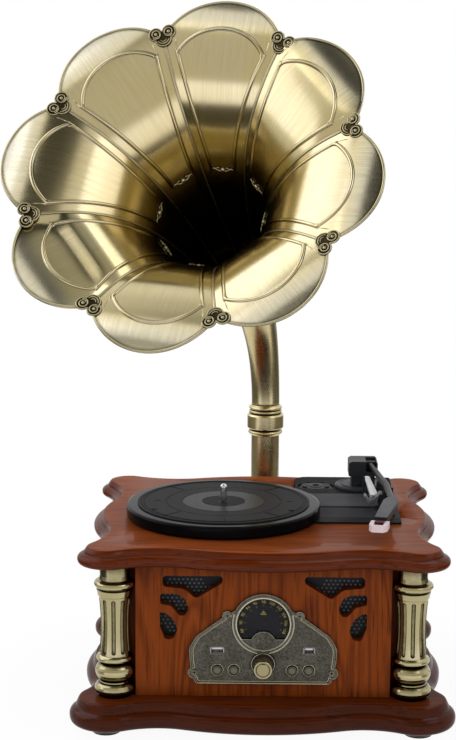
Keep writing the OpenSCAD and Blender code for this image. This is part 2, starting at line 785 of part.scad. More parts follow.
module spindle() {
    tip = z_mat + spindle_up;
    color(steel) at_spindle(0) {
        rotate_extrude($fn = round_fn) polygon(concat(
            [[0, z_under - 8], [bearing_r - 1, z_under - 8], [bearing_r - 1, z_top], [bearing_r + 1.5, z_top],
                [bearing_r + 1.5, z_top + 1], [axle_r, z_top + 1.4], [axle_r, z_mat - 0.1],
                [spindle_r, z_mat - 0.1], [spindle_r, tip - spindle_r]],
            arc([0, tip - spindle_r], spindle_r, 0, 90, 8)));
    }
}

belt_t = 0.8;
belt_z = z_rim + 2.6;

// A belt round two wheels whose centres are apart along X, as one polygon
module belt_outline(r1, r2, apart) {
    lean = acos((r1 - r2) / apart);
    polygon(concat(arc([0, 0], r1, lean, 360 - lean, 72), arc([apart, 0], r2, -lean, lean, 12)));
}

module drive_belt() {
    slack = 0.3;
    color(black) at_spindle(belt_z) linear_extrude(belt_w) difference() {
        belt_outline(belt_ring_r + slack + belt_t, pulley_r + slack + belt_t, motor_off);
        belt_outline(belt_ring_r + slack, pulley_r + slack, motor_off);
    }
}

motor_r = 17;
motor_h = 24;
motor_shaft_r = 1.5;

module motor() {
    color(steel) translate([motor_x, -spindle_front, 0]) difference() {
        union() {
            translate([0, 0, z_under - motor_h]) cylinder(r = motor_r, h = motor_h, $fn = round_fn);
            translate([0, 0, z_under - eps]) cylinder(r = motor_hole_r - 4, h = top_h - 2, $fn = round_fn);
        }
        translate([0, 0, z_under - 10]) cylinder(r = motor_shaft_r + run_fit, h = top_h + 20, $fn = round_fn);
    }
}

module motor_pulley() {
    z0 = belt_z - 1;
    h = belt_w + 2;
    color(brass) translate([motor_x, -spindle_front, 0]) {
        rotate_extrude($fn = round_fn) polygon([[0, z_under - 9], [motor_shaft_r, z_under - 9], [motor_shaft_r, z0],
            [pulley_r + 0.2, z0], [pulley_r + 0.2, z0 + 0.4], [pulley_r, z0 + 0.8], [pulley_r, z0 + h - 0.8],
            [pulley_r + 0.2, z0 + h - 0.4], [pulley_r + 0.2, z0 + h], [0, z0 + h]]);
    }
}

adapter_h = adapter_pocket + deck_t + 1.5;

module adapter_45() {
    color(steel) translate([adapter_x, adapter_y, z_top - adapter_pocket]) rotate_extrude($fn = round_fn)
        polygon([[spindle_r + 0.1, 0], [adapter_r, 0], [adapter_r, adapter_h - 3], [adapter_r - 5, adapter_h - 0.8],
            [9, adapter_h - 0.8], [7.5, adapter_h], [spindle_r + 0.6, adapter_h], [spindle_r + 0.1, adapter_h - 0.5]]);
}

// Tone arm

base_h = 4;
swing_z = z_deck + base_h + 1;
boss_at = [23, -20];
boss_r = 6.5;
boss_h = 12;

// The arm's base: a dished disc, the sleeve that the housing turns in, a domed boss, and the fork
// of the cueing lever
module tonearm_base() {
    color(black) translate([arm_x, arm_y, 0]) {
        difference() {
            union() {
                translate([0, 0, z_deck]) rotate_extrude($fn = round_fn) polygon(concat(
                    [[0, base_h], [0, 0], [arm_base_r, 0], [arm_base_r, 1]],
                    arc([arm_base_r - 2.5, 1.2], 2.5, 0, 80, 5),
                    [[arm_base_r - 6, 2.6], [arm_base_r - 8, base_h]]));
                translate([0, 0, z_under]) cylinder(r = post_r + 5.5, h = top_h + deck_t + 1, $fn = round_fn);
                translate([boss_at[0], boss_at[1], z_deck]) rotate_extrude($fn = round_fn) polygon(concat(
                    [[0, 0], [boss_r, 0], [boss_r, boss_h - 3]],
                    arc([boss_r - 3, boss_h - 3], 3, 0, 90, 4), [[0, boss_h]]));
                at_lever() translate([-5.2, -3, z_deck - lever_z]) cube([10.4, 10, base_h - 1]);
                at_lever() for (s = [-1, 1]) {
                    translate([s * 4.2 - 0.9, -2, z_deck - lever_z]) cube([1.8, 4, lever_z - z_deck + 2]);
                }
                at_lever() translate([-5, 0, 0]) rotate([0, 90, 0]) cylinder(r = lever_pin_r, h = 10, $fn = 24);
            }
            translate([0, 0, z_under + 4]) cylinder(r = post_r + run_fit, h = top_h + 30, $fn = round_fn);
        }
    }
}

housing_w = 36;
housing_d = 30;
housing_up = 6.5;
tilt_r = 2;
slot_x0 = 5;
slot_x1 = 16.5;
housing_left = 14;

// The swinging housing: a stem in the base, a waist and a chamfered head with the arm's slot
module tonearm_housing() {
    head_z = z_arm - 10;
    head_h = 10 + housing_up;
    color(black) translate([arm_x, arm_y, 0]) difference() {
        union() {
            translate([0, 0, z_under + 5]) cylinder(r = post_r, h = swing_z - z_under - 5 + eps, $fn = round_fn);
            translate([3 - housing_left, -housing_d / 2 + 2, swing_z])
                cube([housing_left + housing_w / 2 - 6, housing_d - 4, head_z - swing_z + eps]);
            translate([0, housing_d / 2, head_z]) rotate([90, 0, 0]) linear_extrude(housing_d)
                polygon([[-housing_left, 0], [housing_w / 2, 0], [housing_w / 2, head_h - 2],
                    [housing_w / 2 - 2, head_h], [3 - housing_left, head_h], [-housing_left, head_h - 2]]);
        }
        translate([slot_x0, -housing_d / 2 - eps, z_arm - 5]) cube([slot_x1 - slot_x0, housing_d - 6, 20]);
        translate([slot_x0 - 4, 0, z_arm]) rotate([0, 90, 0])
            cylinder(r = tilt_r + run_fit, h = slot_x1 - slot_x0 + 6, $fn = round_fn);
    }
}

// The arm's line, from its pivot: straight out, bowed to the right, then the head turned in
arm_root = [10.25, -2];
arm_mid = [23, -86];
arm_bend = [25.5, -146];
arm_fall = [0, -2.5, -5];
head_turn = -12;
head_len = 82;
head_w = 15.5;
head_h = 7.5;
head_drop = 3;

function arm_point(k) =
    [[arm_root[0], arm_root[1], z_arm], [arm_mid[0], arm_mid[1], z_arm + arm_fall[1]],
        [arm_bend[0], arm_bend[1], z_arm + arm_fall[2]]][k];

module rod(a, b, r) {
    v = b - a;
    translate(a) rotate([0, acos(v[2] / norm(v)), atan2(v[1], v[0])]) cylinder(r = r, h = norm(v), $fn = 32);
}

module in_head() {
    translate([arm_bend[0], arm_bend[1], z_arm + arm_fall[2]]) rotate([0, 0, head_turn]) children();
}

module tonearm() {
    block = slot_x1 - slot_x0 - 2 * gap;
    color(grey) translate([arm_x, arm_y, 0]) difference() {
        union() {
            rod(arm_point(0), arm_point(1), arm_r);
            translate(arm_point(1)) sphere(r = arm_r + 0.02, $fn = 32);
            rod(arm_point(1), arm_point(2), arm_r);
            translate([slot_x0 + gap, -4, z_arm - 4]) cube([block, 8, 8]);
            translate([slot_x0 - 3.5, 0, z_arm]) rotate([0, 90, 0])
                cylinder(r = tilt_r, h = slot_x1 - slot_x0 + 5, $fn = round_fn);
            in_head() translate([-head_w / 2, -head_len, -head_drop]) linear_extrude(head_h)
                polygon(rounded([[1.5, 0, 2], [head_w - 1.5, 0, 2], [head_w, head_len - 10, 3],
                    [head_w - 4, head_len + 4, 3], [4, head_len + 4, 3], [0, head_len - 10, 3]]));
        }
        in_head() translate([-head_w / 2 + 1.5, -head_len - 1, -head_drop - 1])
            cube([head_w - 3, head_len - 12, head_h - 1.5]);
    }
}

cart_w = 9.4;
cart_out = 10;
nose_drop = 1.6;

module cartridge() {
    color("#4a1518") translate([arm_x, arm_y, 0]) in_head() {
        translate([-cart_w / 2, -head_len - cart_out, -head_drop + 0.5]) cube([cart_w, 36, head_h - 3]);
        translate([-3.2, -head_len - cart_out, -head_drop - nose_drop]) cube([6.4, 12, nose_drop + 1]);
        translate([0, -head_len - 6, -head_drop - nose_drop - 0.8]) cylinder(r = 0.6, h = 2, $fn = 24);
    }
}

guard_drop = 2.5;
guard_out = 22;

module stylus_guard() {
    w = 18.5;
    len_ = guard_out - 0.5;
    color(cream) translate([arm_x, arm_y, 0]) in_head()
        translate([-w / 2, -head_len - guard_out, -head_drop - guard_drop]) linear_extrude(guard_drop + 4)
            difference() {
                polygon(rounded([[3.5, 0, 3], [w - 3.5, 0, 3], [w, 6, 3], [w, len_, 1], [0, len_, 1], [0, 6, 3]]));
                translate([(w - cart_w) / 2 - run_fit, 5]) square([cart_w + 2 * run_fit, 40]);
            }
}

rest_x = 23.4;
rest_y = 14;
rest_top = z_arm + arm_fall[1] - 0.4 - arm_r - gap;
clip_pin_x = -7;
clip_pin_z = rest_top - 3.6;
clip_pin_r = 1;
knuckle_r = 2.4;

// The rest that carries the arm: a block with a low cradle, open towards the platter, with the
// hinge of the clip on that side
module arm_rest() {
    color(grey) translate([arm_x + rest_x, rest_y, 0]) {
        translate([-12, -9, z_deck]) linear_extrude(4) polygon(rounded([[0, 0, 4], [18, 0, 4], [18, 18, 4], [0, 18, 4]]));
        translate([-4.2, -4, z_deck + 4 - eps]) cube([9, 8, rest_top - z_deck - 4]);
        translate([arm_r + gap, -4, rest_top - 1]) cube([2.2, 8, 6]);
        for (s = [-1, 1]) {
            translate([clip_pin_x, s * 8 - 1, 0]) difference() {
                translate([-knuckle_r, 0, z_deck + 4 - eps]) cube([2 * knuckle_r, 2, clip_pin_z - z_deck - 2.5]);
            }
        }
        translate([clip_pin_x, -8.5, clip_pin_z]) rotate([-90, 0, 0]) cylinder(r = clip_pin_r, h = 17, $fn = 24);
    }
}

clip_len = 16;
clip_open = 30;

// The clip that holds the parked arm: it lies open beside the rest and turns up over the arm
module arm_clip() {
    w = 13;
    color("#8d9095") translate([arm_x + rest_x + clip_pin_x, rest_y, clip_pin_z]) rotate([0, -clip_open, 0])
        difference() {
            union() {
                translate([0, w / 2, 0]) rotate([90, 0, 0]) cylinder(r = knuckle_r, h = w, $fn = 32);
                translate([-clip_len, -w / 2, -1.2]) cube([clip_len, w, 2.4]);
                translate([-clip_len, -w / 2, -1.2]) cube([2.2, w, 9]);
            }
            translate([0, w, 0]) rotate([90, 0, 0]) cylinder(r = clip_pin_r + run_fit, h = 2 * w, $fn = 32);
            translate([-clip_len / 2 - 0.5, 0, -3]) cylinder(r = 2.8, h = 6, $fn = 32);
        }
}

lever_len = 46;
lever_x = 5.5;
lever_y = -32;
lever_z = z_deck + 17;
lever_slope = 11;
lever_turn = 7;
lever_pin_r = 1;

module at_lever() {
    translate([lever_x, lever_y, lever_z]) rotate([0, 0, lever_turn]) children();
}

module cue_lever() {
    color(cream) translate([arm_x, arm_y, 0]) at_lever() rotate([lever_slope, 0, 0]) difference() {
        translate([0, 0, -1.5]) linear_extrude(3) polygon(rounded([[-2.6, 3, 2.4], [2.6, 3, 2.4],
            [4.2, -lever_len, 0.5], [-4.2, -lever_len, 0.5]]));
        rotate([0, 90, 0]) translate([0, 0, -5]) cylinder(r = lever_pin_r + run_fit, h = 10, $fn = 24);
    }
}

module speed_switch() {
    color(steel) translate([switch_x, switch_y, 0]) {
        translate([-1.6, -4, z_deck + 0.2]) cube([3.2, 8, 2.6]);
        translate([-1, -1.5, z_top - 4]) cube([2, 3, 4 + deck_t + 0.3]);
    }
}

// Pipe and neck

pipe_bend = 34;
flange_r = 30;
flange_t = 5;

module pipe_run(r, over) {
    back = -front_y;
    run = pipe_y - pipe_bend - back;
    translate([0, back - over, flange_z]) rotate([-90, 0, 0]) cylinder(r = r, h = run + over, $fn = round_fn);
    translate([0, pipe_y - pipe_bend, flange_z + pipe_bend]) rotate([0, 90, 0])
        rotate_extrude(angle = 90, start = 0, $fn = round_fn) translate([pipe_bend, 0]) circle(r = r, $fn = round_fn);
    translate([0, pipe_y, flange_z + pipe_bend])
        cylinder(r = r, h = pipe_top - flange_z - pipe_bend + over, $fn = round_fn);
}

module stand_pipe() {
    back = -front_y;
    color(brass) difference() {
        union() {
            pipe_run(pipe_r, 0);
            translate([0, back, flange_z]) rotate([-90, 0, 0]) cylinder(r = flange_r, h = flange_t, $fn = round_fn);
        }
        pipe_run(pipe_r - pipe_wall, 1);
        for (k = [0:3]) {
            translate([0, back, flange_z]) rotate([-90, 0, 0]) rotate([0, 0, 45 + 90 * k])
                translate([flange_r - 6.5, 0, -eps]) cylinder(r = 2, h = flange_t + 2 * eps, $fn = 24);
        }
    }
}

collar_low = 25.5;

module pipe_collar() {
    color(brass) translate([0, pipe_y, pipe_top - collar_low]) rotate_extrude($fn = 64) polygon(concat(
        [[pipe_r, collar_low], [pipe_r, 0], [pipe_r + 1.4, 0.4]],
        arc([pipe_r + 1, 3.6], 2.6, -60, 60, 6),
        [[pipe_r + 1, 7.4], [pipe_r + 3.8, 8], [pipe_r + 4.8, 9.2], [pipe_r + 4.8, 23], [pipe_r + 3.6, 24.8],
            [pipe_r + 2, collar_low]]));
}

spigot_len = 28;
spigot_ring = 9.6;
spigot_gap = 0.3;
neck_z = pipe_top + spigot_gap + spigot_ring;
neck_r0 = 15.9;
neck_wall = 1.5;

module neck_spigot() {
    r = pipe_r - pipe_wall - run_fit;
    color(brass) translate([0, pipe_y, pipe_top + spigot_gap]) rotate_extrude($fn = 64) polygon(concat(
        [[r - 2, spigot_ring], [r - 2, -spigot_len], [r, -spigot_len], [r, 0], [pipe_r + 1.4, 0]],
        arc([pipe_r + 1.2, 2], 1.7, -60, 60, 5),
        [[pipe_r + 0.9, 4]],
        arc([pipe_r + 1, 6.4], 1.9, -60, 60, 5),
        [[pipe_r + 0.4, spigot_ring - 0.6], [pipe_r - 0.1, spigot_ring]]));
}

// The neck bends from upright to the horn's axis and widens on the way
neck_turn = 90 - horn_elev;
neck_growth = 8.6;
ahead = [-sin(horn_turn), -cos(horn_turn), 0];
aside = [cos(horn_turn), -sin(horn_turn), 0];
up = [0, 0, 1];

function neck_centre(t) = [0, pipe_y, neck_z] + ahead * neck_bend * (1 - cos(t)) + up * neck_bend * sin(t);
function neck_radius(t) = neck_r0 + neck_growth * pow(t / neck_turn, 2);
function neck_ring(t, r, n) = [for (i = [0:n - 1]) neck_centre(t)
    + r * (cos(360 * i / n) * aside + sin(360 * i / n) * (ahead * cos(t) - up * sin(t)))];

module gooseneck() {
    n = 24;
    rings = 14;
    ts = [for (k = [0:rings]) neck_turn * k / rings];
    outer = [for (t = ts) for (p = neck_ring(t, neck_radius(t), n)) p];
    inner = [for (t = ts) for (p = neck_ring(t, neck_radius(t) - neck_wall, n)) p];
    m = n * (rings + 1);
    color(brass) polyhedron(
        points = concat(outer, inner),
        faces = concat(
            [for (k = [0:rings - 1]) for (i = [0:n - 1])
                [k * n + i, k * n + (i + 1) % n, (k + 1) * n + (i + 1) % n, (k + 1) * n + i]],
            [for (k = [0:rings - 1]) for (i = [0:n - 1])
                [m + k * n + i, m + (k + 1) * n + i, m + (k + 1) * n + (i + 1) % n, m + k * n + (i + 1) % n]],
            [for (i = [0:n - 1]) [i, m + i, m + (i + 1) % n, (i + 1) % n]],
            [for (i = [0:n - 1]) let (k = rings * n)
                [k + i, k + (i + 1) % n, m + k + (i + 1) % n, m + k + i]]),
        convexity = 6);
}

// Horn: the frame has +Z along the horn's axis, out of the bell, and Z = 0 at the ring of rosettes
bell = neck_centre(neck_turn) + horn_len * (ahead * cos(horn_elev) + up * sin(horn_elev));
petals = 8;
half_petal = 180 / petals;
horn_roll = -3.3;
ring_a = ring_r * cos(half_petal);
brim_start = 107;
roll_m = brim_roll / pow(tip_r - brim_start, 2);
brim_lift = roll_m * pow(ring_a - brim_start, 2);
bell_k = (horn_len + brim_lift) / (1 / throat_a - 1 / ring_a);
bell_c = bell_k / ring_a + brim_lift;

function flare(a) = bell_c - bell_k / a - roll_m * pow(max(0, a - brim_start), 2);
function flare_slope(a) = bell_k / (a * a) - 2 * roll_m * max(0, a - brim_start);

module in_horn() {
    translate(bell) rotate([90 - horn_elev, 0, -horn_turn]) rotate([0, 0, horn_roll]) children();
}

// Edge of a petal and its bead: arcs across the panel, about a centre on its middle line
ring_u = ring_r * sin(half_petal);
tip_rise = tip_r - ring_a;
rim_r = (ring_u * ring_u + tip_rise * tip_rise) / (2 * tip_rise);
rim_c = tip_r - rim_r;
rim_a = atan2(ring_u, ring_a - rim_c);
shoulder_a = ring_a - 16.5;
bead_tip = tip_r - 32;
corner_a = shoulder_a + 2.2;
corner_u = corner_a * tan(half_petal) - bead_in;
bead_rise = bead_tip - corner_a;
bead_r = (corner_u * corner_u + bead_rise * bead_rise) / (2 * bead_rise);
bead_c = bead_tip - bead_r;
bead_a = atan2(corner_u, corner_a - bead_c);
bead_half = 1.7;
garland_a = 56.5;
rim_t = 2.6;

// Columns across a petal, as shares of the rim's arc: the bead's two feet and crest are 3, 4 and 5
shares = [-1, -0.8, -0.75, -0.7, -0.47, -0.23, 0, 0.23, 0.47, 0.7, 0.75, 0.8, 1];
crest = 0.75;
lower_rows = 11;
garland_row = 5;
rows = lower_rows + 7;

function sign_(q) = q < 0 ? -1 : 1;
function seam_u(a) = a * tan(half_petal);
function bead_gap(a) = min(bead_in, seam_u(a) * 0.45);
function bead_w(a) = min(bead_half, bead_gap(a) * 0.4);
function lower_u(a, q) = let (s = abs(q), edge = seam_u(a) - bead_gap(a))
    sign_(q) * (s == 1 ? seam_u(a) : s == 0.8 ? edge + bead_w(a) : s == 0.75 ? edge
        : s == 0.7 ? edge - bead_w(a) : s / 0.7 * (edge - bead_w(a)));
function lower_a(i) = i <= garland_row
    ? throat_a * pow(garland_a / throat_a, i / garland_row)
    : garland_a * pow(shoulder_a / garland_a, (i - garland_row) / (lower_rows - garland_row));
function arc_au(c, r, a) = [c + r * cos(a), r * sin(a)];
function foot_step(i) = 2 * (i - lower_rows - 2);
function bead_point(i, q) = abs(q) > crest
    ? let (a = corner_a + foot_step(i) + 0.6) [a, lower_u(a, q)]
    : arc_au(bead_c, bead_r + bead_half * (i - lower_rows - 2), bead_a * q / crest);
function rim_point(q) = arc_au(rim_c, rim_r, rim_a * q);
function mix(a, b, t) = a + (b - a) * t;
function petal_point(i, q) =
    i <= lower_rows ? [lower_a(i), lower_u(lower_a(i), q)]
    : i <= lower_rows + 3 ? bead_point(i, q)
    : mix(bead_point(lower_rows + 3, q), rim_point(q), [0.3, 0.62, 0.9, 1][i - lower_rows - 4]);
function raised(i, q) =
    abs(q) == crest && i >= garland_row && i <= lower_rows + 2 ? bead_h
    : i == lower_rows + 2 && abs(q) < crest ? bead_h
    : i == rows ? 0.9
    : 0;
function wall_at(i) = i == rows ? rim_t : sheet_t;

// A point of the sheet: row, column share, and how deep behind the front face
function sheet_point(i, q, depth) =
    let (au = petal_point(i, q), a = au[0], s = flare_slope(a), n = sqrt(1 + s * s),
        shift = depth * wall_at(i) - raised(i, q), a2 = a + shift * s / n)
    [a2, au[1] * a2 / a, flare(a) - shift / n];

module petal(k) {
    nc = len(shares);
    m = nc * (rows + 1);
    pts = [for (depth = [0, 1]) for (i = [0:rows]) for (q = shares) sheet_point(i, q, depth)];
    color(brass) in_horn() rotate([0, 0, 90 - (k - 1) * 360 / petals]) polyhedron(
        points = pts,
        faces = concat(
            [for (i = [0:rows - 1]) for (j = [0:nc - 2]) let (b = i * nc + j) each
                [[b, b + 1, b + nc], [b + 1, b + nc + 1, b + nc]]],
            [for (i = [0:rows - 1]) for (j = [0:nc - 2]) let (b = m + i * nc + j) each
                [[b, b + nc, b + 1], [b + 1, b + nc, b + nc + 1]]],
            [for (j = [0:nc - 2]) each [[j, m + j, m + j + 1], [j, m + j + 1, j + 1]]],
            [for (j = [0:nc - 2]) let (b = rows * nc + j) each
                [[b, b + 1, m + b + 1], [b, m + b + 1, m + b]]],
            [for (i = [0:rows - 1]) let (b = i * nc) each
                [[b, b + nc, m + b + nc], [b, m + b + nc, m + b]]],
            [for (i = [0:rows - 1]) let (b = i * nc + nc - 1) each
                [[b, m + b, m + b + nc], [b, m + b + nc, b + nc]]]),
        convexity = 4);
}

module horn_ferrule() {
    neck_end = neck_r0 + neck_growth;
    seat = (throat_a + 2 * sheet_t) / cos(half_petal) + 0.2;
    color(brass) in_horn() translate([0, 0, -horn_len]) rotate_extrude($fn = 64) polygon(concat(
        [[neck_end - 0.15, 0], [neck_end - 0.15, -9], [neck_end + 2.5, -9]],
        arc([seat + 1, -4], 3.6, -60, 60, 6),
        [[seat + 2.6, 1], [seat + 2.6, 7], [seat + 1, 8.5], [seat, 8.5], [seat, 0]]));
}

// Cast ornaments: a rosette of two scrolls on each seam at the brim, and a small scroll at the
// foot of each petal's bead
rosette_tilt = 11;
rosette_t = 3.2;

module scroll(r) {
    rotate_extrude($fn = 32) translate([r, 0]) circle(r = 1.1, $fn = 16);
    cylinder(r = r * 0.42, h = 1.6, $fn = 24);
}

module rosette() {
    for (s = [-1, 1]) {
        translate([s * 6.6, 2.4, 0]) {
            cylinder(r = 6.6, h = rosette_t, $fn = 32);
            translate([0, 0, rosette_t]) scroll(4);
        }
    }
    translate([0, -2.2, 0]) cylinder(r = 8.2, h = rosette_t, $fn = 32);
    translate([0, -2.2, rosette_t]) intersection() {
        rotate_extrude($fn = 32) translate([6.8, 0]) circle(r = 1, $fn = 16);
        translate([-10, -10, -2]) cube([20, 10.5, 4]);
    }
}

module garland() {
    for (s = [-1, 1]) {
        translate([s * 7, 0, 0]) {
            cylinder(r = 4.2, h = 2, $fn = 24);
            translate([0, 0, 2]) rotate_extrude($fn = 24) translate([2.6, 0]) circle(r = 0.8, $fn = 16);
        }
    }
    translate([0, -1, 0]) cylinder(r = 4.6, h = 2.4, $fn = 24);
    translate([0, -1, 2]) sphere(r = 2.4, $fn = 24);
}

module horn_ornaments() {
    rosette_w = flare(ring_a) + 0.2;
    garland_tilt = atan(flare_slope(garland_a));
    color(brass) in_horn() for (k = [0:petals - 1]) {
        rotate([0, 0, 90 + half_petal + k * 360 / petals]) translate([ring_r, 0, rosette_w])
            rotate([0, -rosette_tilt, 0]) rotate([0, 0, -90]) rosette();
        rotate([0, 0, 90 + k * 360 / petals]) translate([garland_a, 0, flare(garland_a)])
            rotate([0, -garland_tilt, 0]) rotate([0, 0, -90]) translate([0, 0, -0.6]) garland();
    }
}

// Electronics in the base

module amplifier_board() {
    color("#2f6a3a") {
        translate([-50, 20, z_panel + 6]) cube([100, 70, board_t]);
        for (x = [-44, 44]) {
            for (y = [26, 84]) {
                translate([x, y, z_panel]) cylinder(r = 3, h = 6 + eps, $fn = 24);
            }
        }
        translate([-40, 40, z_panel + 6 + board_t - eps]) cube([30, 8, 22]);
        for (x = [5, 25]) {
            translate([x, 60, z_panel + 6 + board_t - eps]) cylinder(r = 7, h = 20, $fn = round_fn);
        }
    }
}

module rear_sockets() {
    back = -front_y;
    color(black) {
        for (x = jack_x) {
            translate([x, back, rear_z]) rotate([-90, 0, 0]) difference() {
                union() {
                    translate([0, 0, -panel_t - 6]) cylinder(r = jack_r - 0.05, h = panel_t + 6, $fn = round_fn);
                    cylinder(r = 6.5, h = 1.5, $fn = round_fn);
                    cylinder(r = 4.15, h = 9, $fn = round_fn);
                }
                translate([0, 0, -2]) cylinder(r = 1.6, h = 12, $fn = 24);
            }
        }
        translate([inlet_x, back, rear_z]) rotate([-90, 0, 0]) difference() {
            union() {
                translate([0, 0, -panel_t - 6]) cylinder(r = inlet_r - 0.05, h = panel_t + 6, $fn = round_fn);
                cylinder(r = 7, h = 2, $fn = round_fn);
            }
            difference() {
                translate([0, 0, -8]) cylinder(r = 2.75, h = 12, $fn = 24);
                translate([0, 0, -9]) cylinder(r = 1.05, h = 10, $fn = 24);
            }
        }
    }
}

base_plinth();
feet();
foot_pads();
front_panel();
back_panel();
side_panel(-1);  // side_panel_left
side_panel(1);  // side_panel_right
top_plate();
column_at(-1, -1);  // column_front_left
column_at(1, -1);  // column_front_right
column_at(-1, 1);  // column_rear_left
column_at(1, 1);  // column_rear_right
speaker_grilles();
speakers();
escutcheon();
escutcheon_screws();
dial_plate();
dial_window();
volume_knob();
knob_collar();
control_board();
button(0);  // button_source
button(1);  // button_previous
button(2);  // button_next
button(3);  // button_pause
usb_socket();
card_socket();
deck_plate();
platter();
slip_mat();
spindle();
drive_belt();
motor();
motor_pulley();
adapter_45();
tonearm_base();
tonearm_housing();
tonearm();
cartridge();
stylus_guard();
arm_rest();
arm_clip();
cue_lever();
speed_switch();
stand_pipe();
pipe_collar();
neck_spigot();
gooseneck();
horn_ferrule();
for (k = [1:petals]) {
    petal(k);
}
horn_ornaments();
amplifier_board();
rear_sockets();
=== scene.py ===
"""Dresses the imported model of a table-top horn gramophone: brass petals and neck, moulded wooden
boards, the deck's details, materials for every node, and the stage that it is looked at on."""

import math

import bmesh
import bpy
from bpy.props import FloatProperty, FloatVectorProperty, IntProperty, PointerProperty
from mathutils import Matrix, Vector


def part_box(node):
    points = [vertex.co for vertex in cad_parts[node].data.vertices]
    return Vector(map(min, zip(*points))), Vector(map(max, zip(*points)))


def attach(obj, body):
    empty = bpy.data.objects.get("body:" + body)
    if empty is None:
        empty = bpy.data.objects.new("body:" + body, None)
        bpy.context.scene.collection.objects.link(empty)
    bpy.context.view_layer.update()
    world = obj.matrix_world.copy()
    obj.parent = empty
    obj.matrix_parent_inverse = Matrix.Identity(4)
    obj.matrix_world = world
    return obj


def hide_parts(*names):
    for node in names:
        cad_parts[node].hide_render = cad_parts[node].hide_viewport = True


bl_info = {
    "name": "Horn gramophone",
    "version": (1, 0, 0),
    "blender": (4, 5, 0),
    "location": "3D View > Sidebar > Gramophone",
    "description": "Builds the dressed horn gramophone piece by piece",
    "category": "Object",
}

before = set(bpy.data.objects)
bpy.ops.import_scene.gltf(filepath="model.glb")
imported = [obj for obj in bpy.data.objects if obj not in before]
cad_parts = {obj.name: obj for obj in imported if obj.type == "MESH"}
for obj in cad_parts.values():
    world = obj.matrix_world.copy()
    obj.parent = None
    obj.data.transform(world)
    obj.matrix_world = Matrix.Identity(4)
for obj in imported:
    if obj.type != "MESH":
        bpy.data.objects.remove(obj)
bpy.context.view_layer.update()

MM = 0.001
PETALS = 8
HALF_PETAL = math.pi / PETALS
ROSETTE_TILT = math.radians(-11)
GARLAND_SUNK = 0.0006
# Slope that a petal's brim has more than its neighbours, by the petal's number
BRIM_LEANS = {2: -0.080, 3: -0.022, 6: 0.165}


class GramophoneSizes(bpy.types.PropertyGroup):
    """Sizes of the pieces that are made here, in metres."""

    def length(name, value, description):
        return FloatProperty(name=name, description=description, default=value, unit="LENGTH")

    def angle(name, degrees, description):
        return FloatProperty(name=name, description=description, default=math.radians(degrees),
                             subtype="ANGLE", unit="ROTATION")

    throat: length("Throat", 0.026, "Half width across flats of the horn's throat")
    ring: length("Ring of rosettes", 0.1642, "Radius of the circle that the rosettes sit on")
    tip: length("Petal tip", 0.1955, "From the horn's axis to the tip of a petal")
    horn_length: length("Horn length", 0.270, "From the throat to the ring of rosettes")
    brim_roll: length("Brim roll", 0.0127, "How far the brim rolls back at a petal's tip")
    sheet: length("Sheet", 0.0011, "Thickness of the brass sheet")
    bead: length("Bead height", 0.0014, "Height of the embossed bead on a petal")
    bead_half: length("Bead half width", 0.0017, "Half the width of the embossed bead")
    bead_in: length("Bead inset", 0.0117, "Distance of the bead from the seam")
    wire: length("Rim wire", 0.0014, "Radius of the rolled rim")
    neck_bend: length("Neck bend", 0.165, "Radius of the bend of the neck")
    neck_foot: length("Neck foot", 0.0159, "Radius of the neck where it stands on the pipe")
    neck_growth: length("Neck growth", 0.0086, "How much wider the neck is at the horn")
    elevation: angle("Elevation", 33.5, "How far the horn's axis rises")
    turn: angle("Turn", 14.9, "How far the horn points left of straight ahead")
    roll: angle("Roll", -3.3, "How far the bell is turned on its own axis")
    steps: IntProperty(name="Steps", description="Rows of faces along the plain part of a petal",
                       default=44, min=8, max=120)


class GramophoneColours(bpy.types.PropertyGroup):
    """Colours of the finishes, as linear values."""

    def colour(name, description, value):
        return FloatVectorProperty(name=name, description=description, default=value,
                                   subtype="COLOR", size=3, min=0.0, max=1.0)

    brass: colour("Brass", "Polished side of the antique brass", (0.66, 0.555, 0.285))
    brim: colour("Brim brass", "The paler brass along the petals' brims", (0.62, 0.565, 0.405))
    # Inner brass is painted shade: the sheet's brass made darker and deeper gold towards the throat
    deep: colour("Inner brass", "The golden brass towards the horn's throat", (0.52, 0.41, 0.170))
    # Painted shade: the column brass is darker than the polished brass, for the dark reflections
    # round the columns and feet
    column: colour("Column brass", "The duller brass of the columns and feet", (0.44, 0.385, 0.205))
    # Besides real patina, this dark brass is also painted shade in the petals' creases and the
    # columns' flutes
    brass_dark: colour("Brass patina", "Brass where the patina is left", (0.040, 0.029, 0.012))
    wood_light: colour("Wood", "Lighter streaks of the panels", (0.255, 0.053, 0.0060))
    wood_dark: colour("Wood grain", "Darker streaks of the panels", (0.085, 0.0135, 0.0018))
    top_light: colour("Top wood", "Lighter streaks of the top board", (0.270, 0.062, 0.012))
    top_dark: colour("Top grain", "Darker streaks of the top board", (0.160, 0.030, 0.006))
    moulding: colour("Moulding", "The stained edge of the top board", (0.105, 0.0165, 0.0016))
    pewter: colour("Plate", "The plate round the dial", (0.128, 0.120, 0.099))
    plastic: colour("Plastic", "The deck and the arm's base", (0.018, 0.019, 0.021))
    arm: colour("Arm", "The tone arm", (0.011, 0.012, 0.014))
    dial_ink: colour("Dial ink", "The marks on the dial", (0.40, 0.31, 0.045))
    paper: colour("Floor", "The paper that the object stands on", (0.82, 0.82, 0.82))


def sizes():
    """The panel's sizes."""
    return bpy.context.scene.gramophone_sizes


def colours():
    """The panel's colours."""
    return bpy.context.scene.gramophone_colours


# Nodes

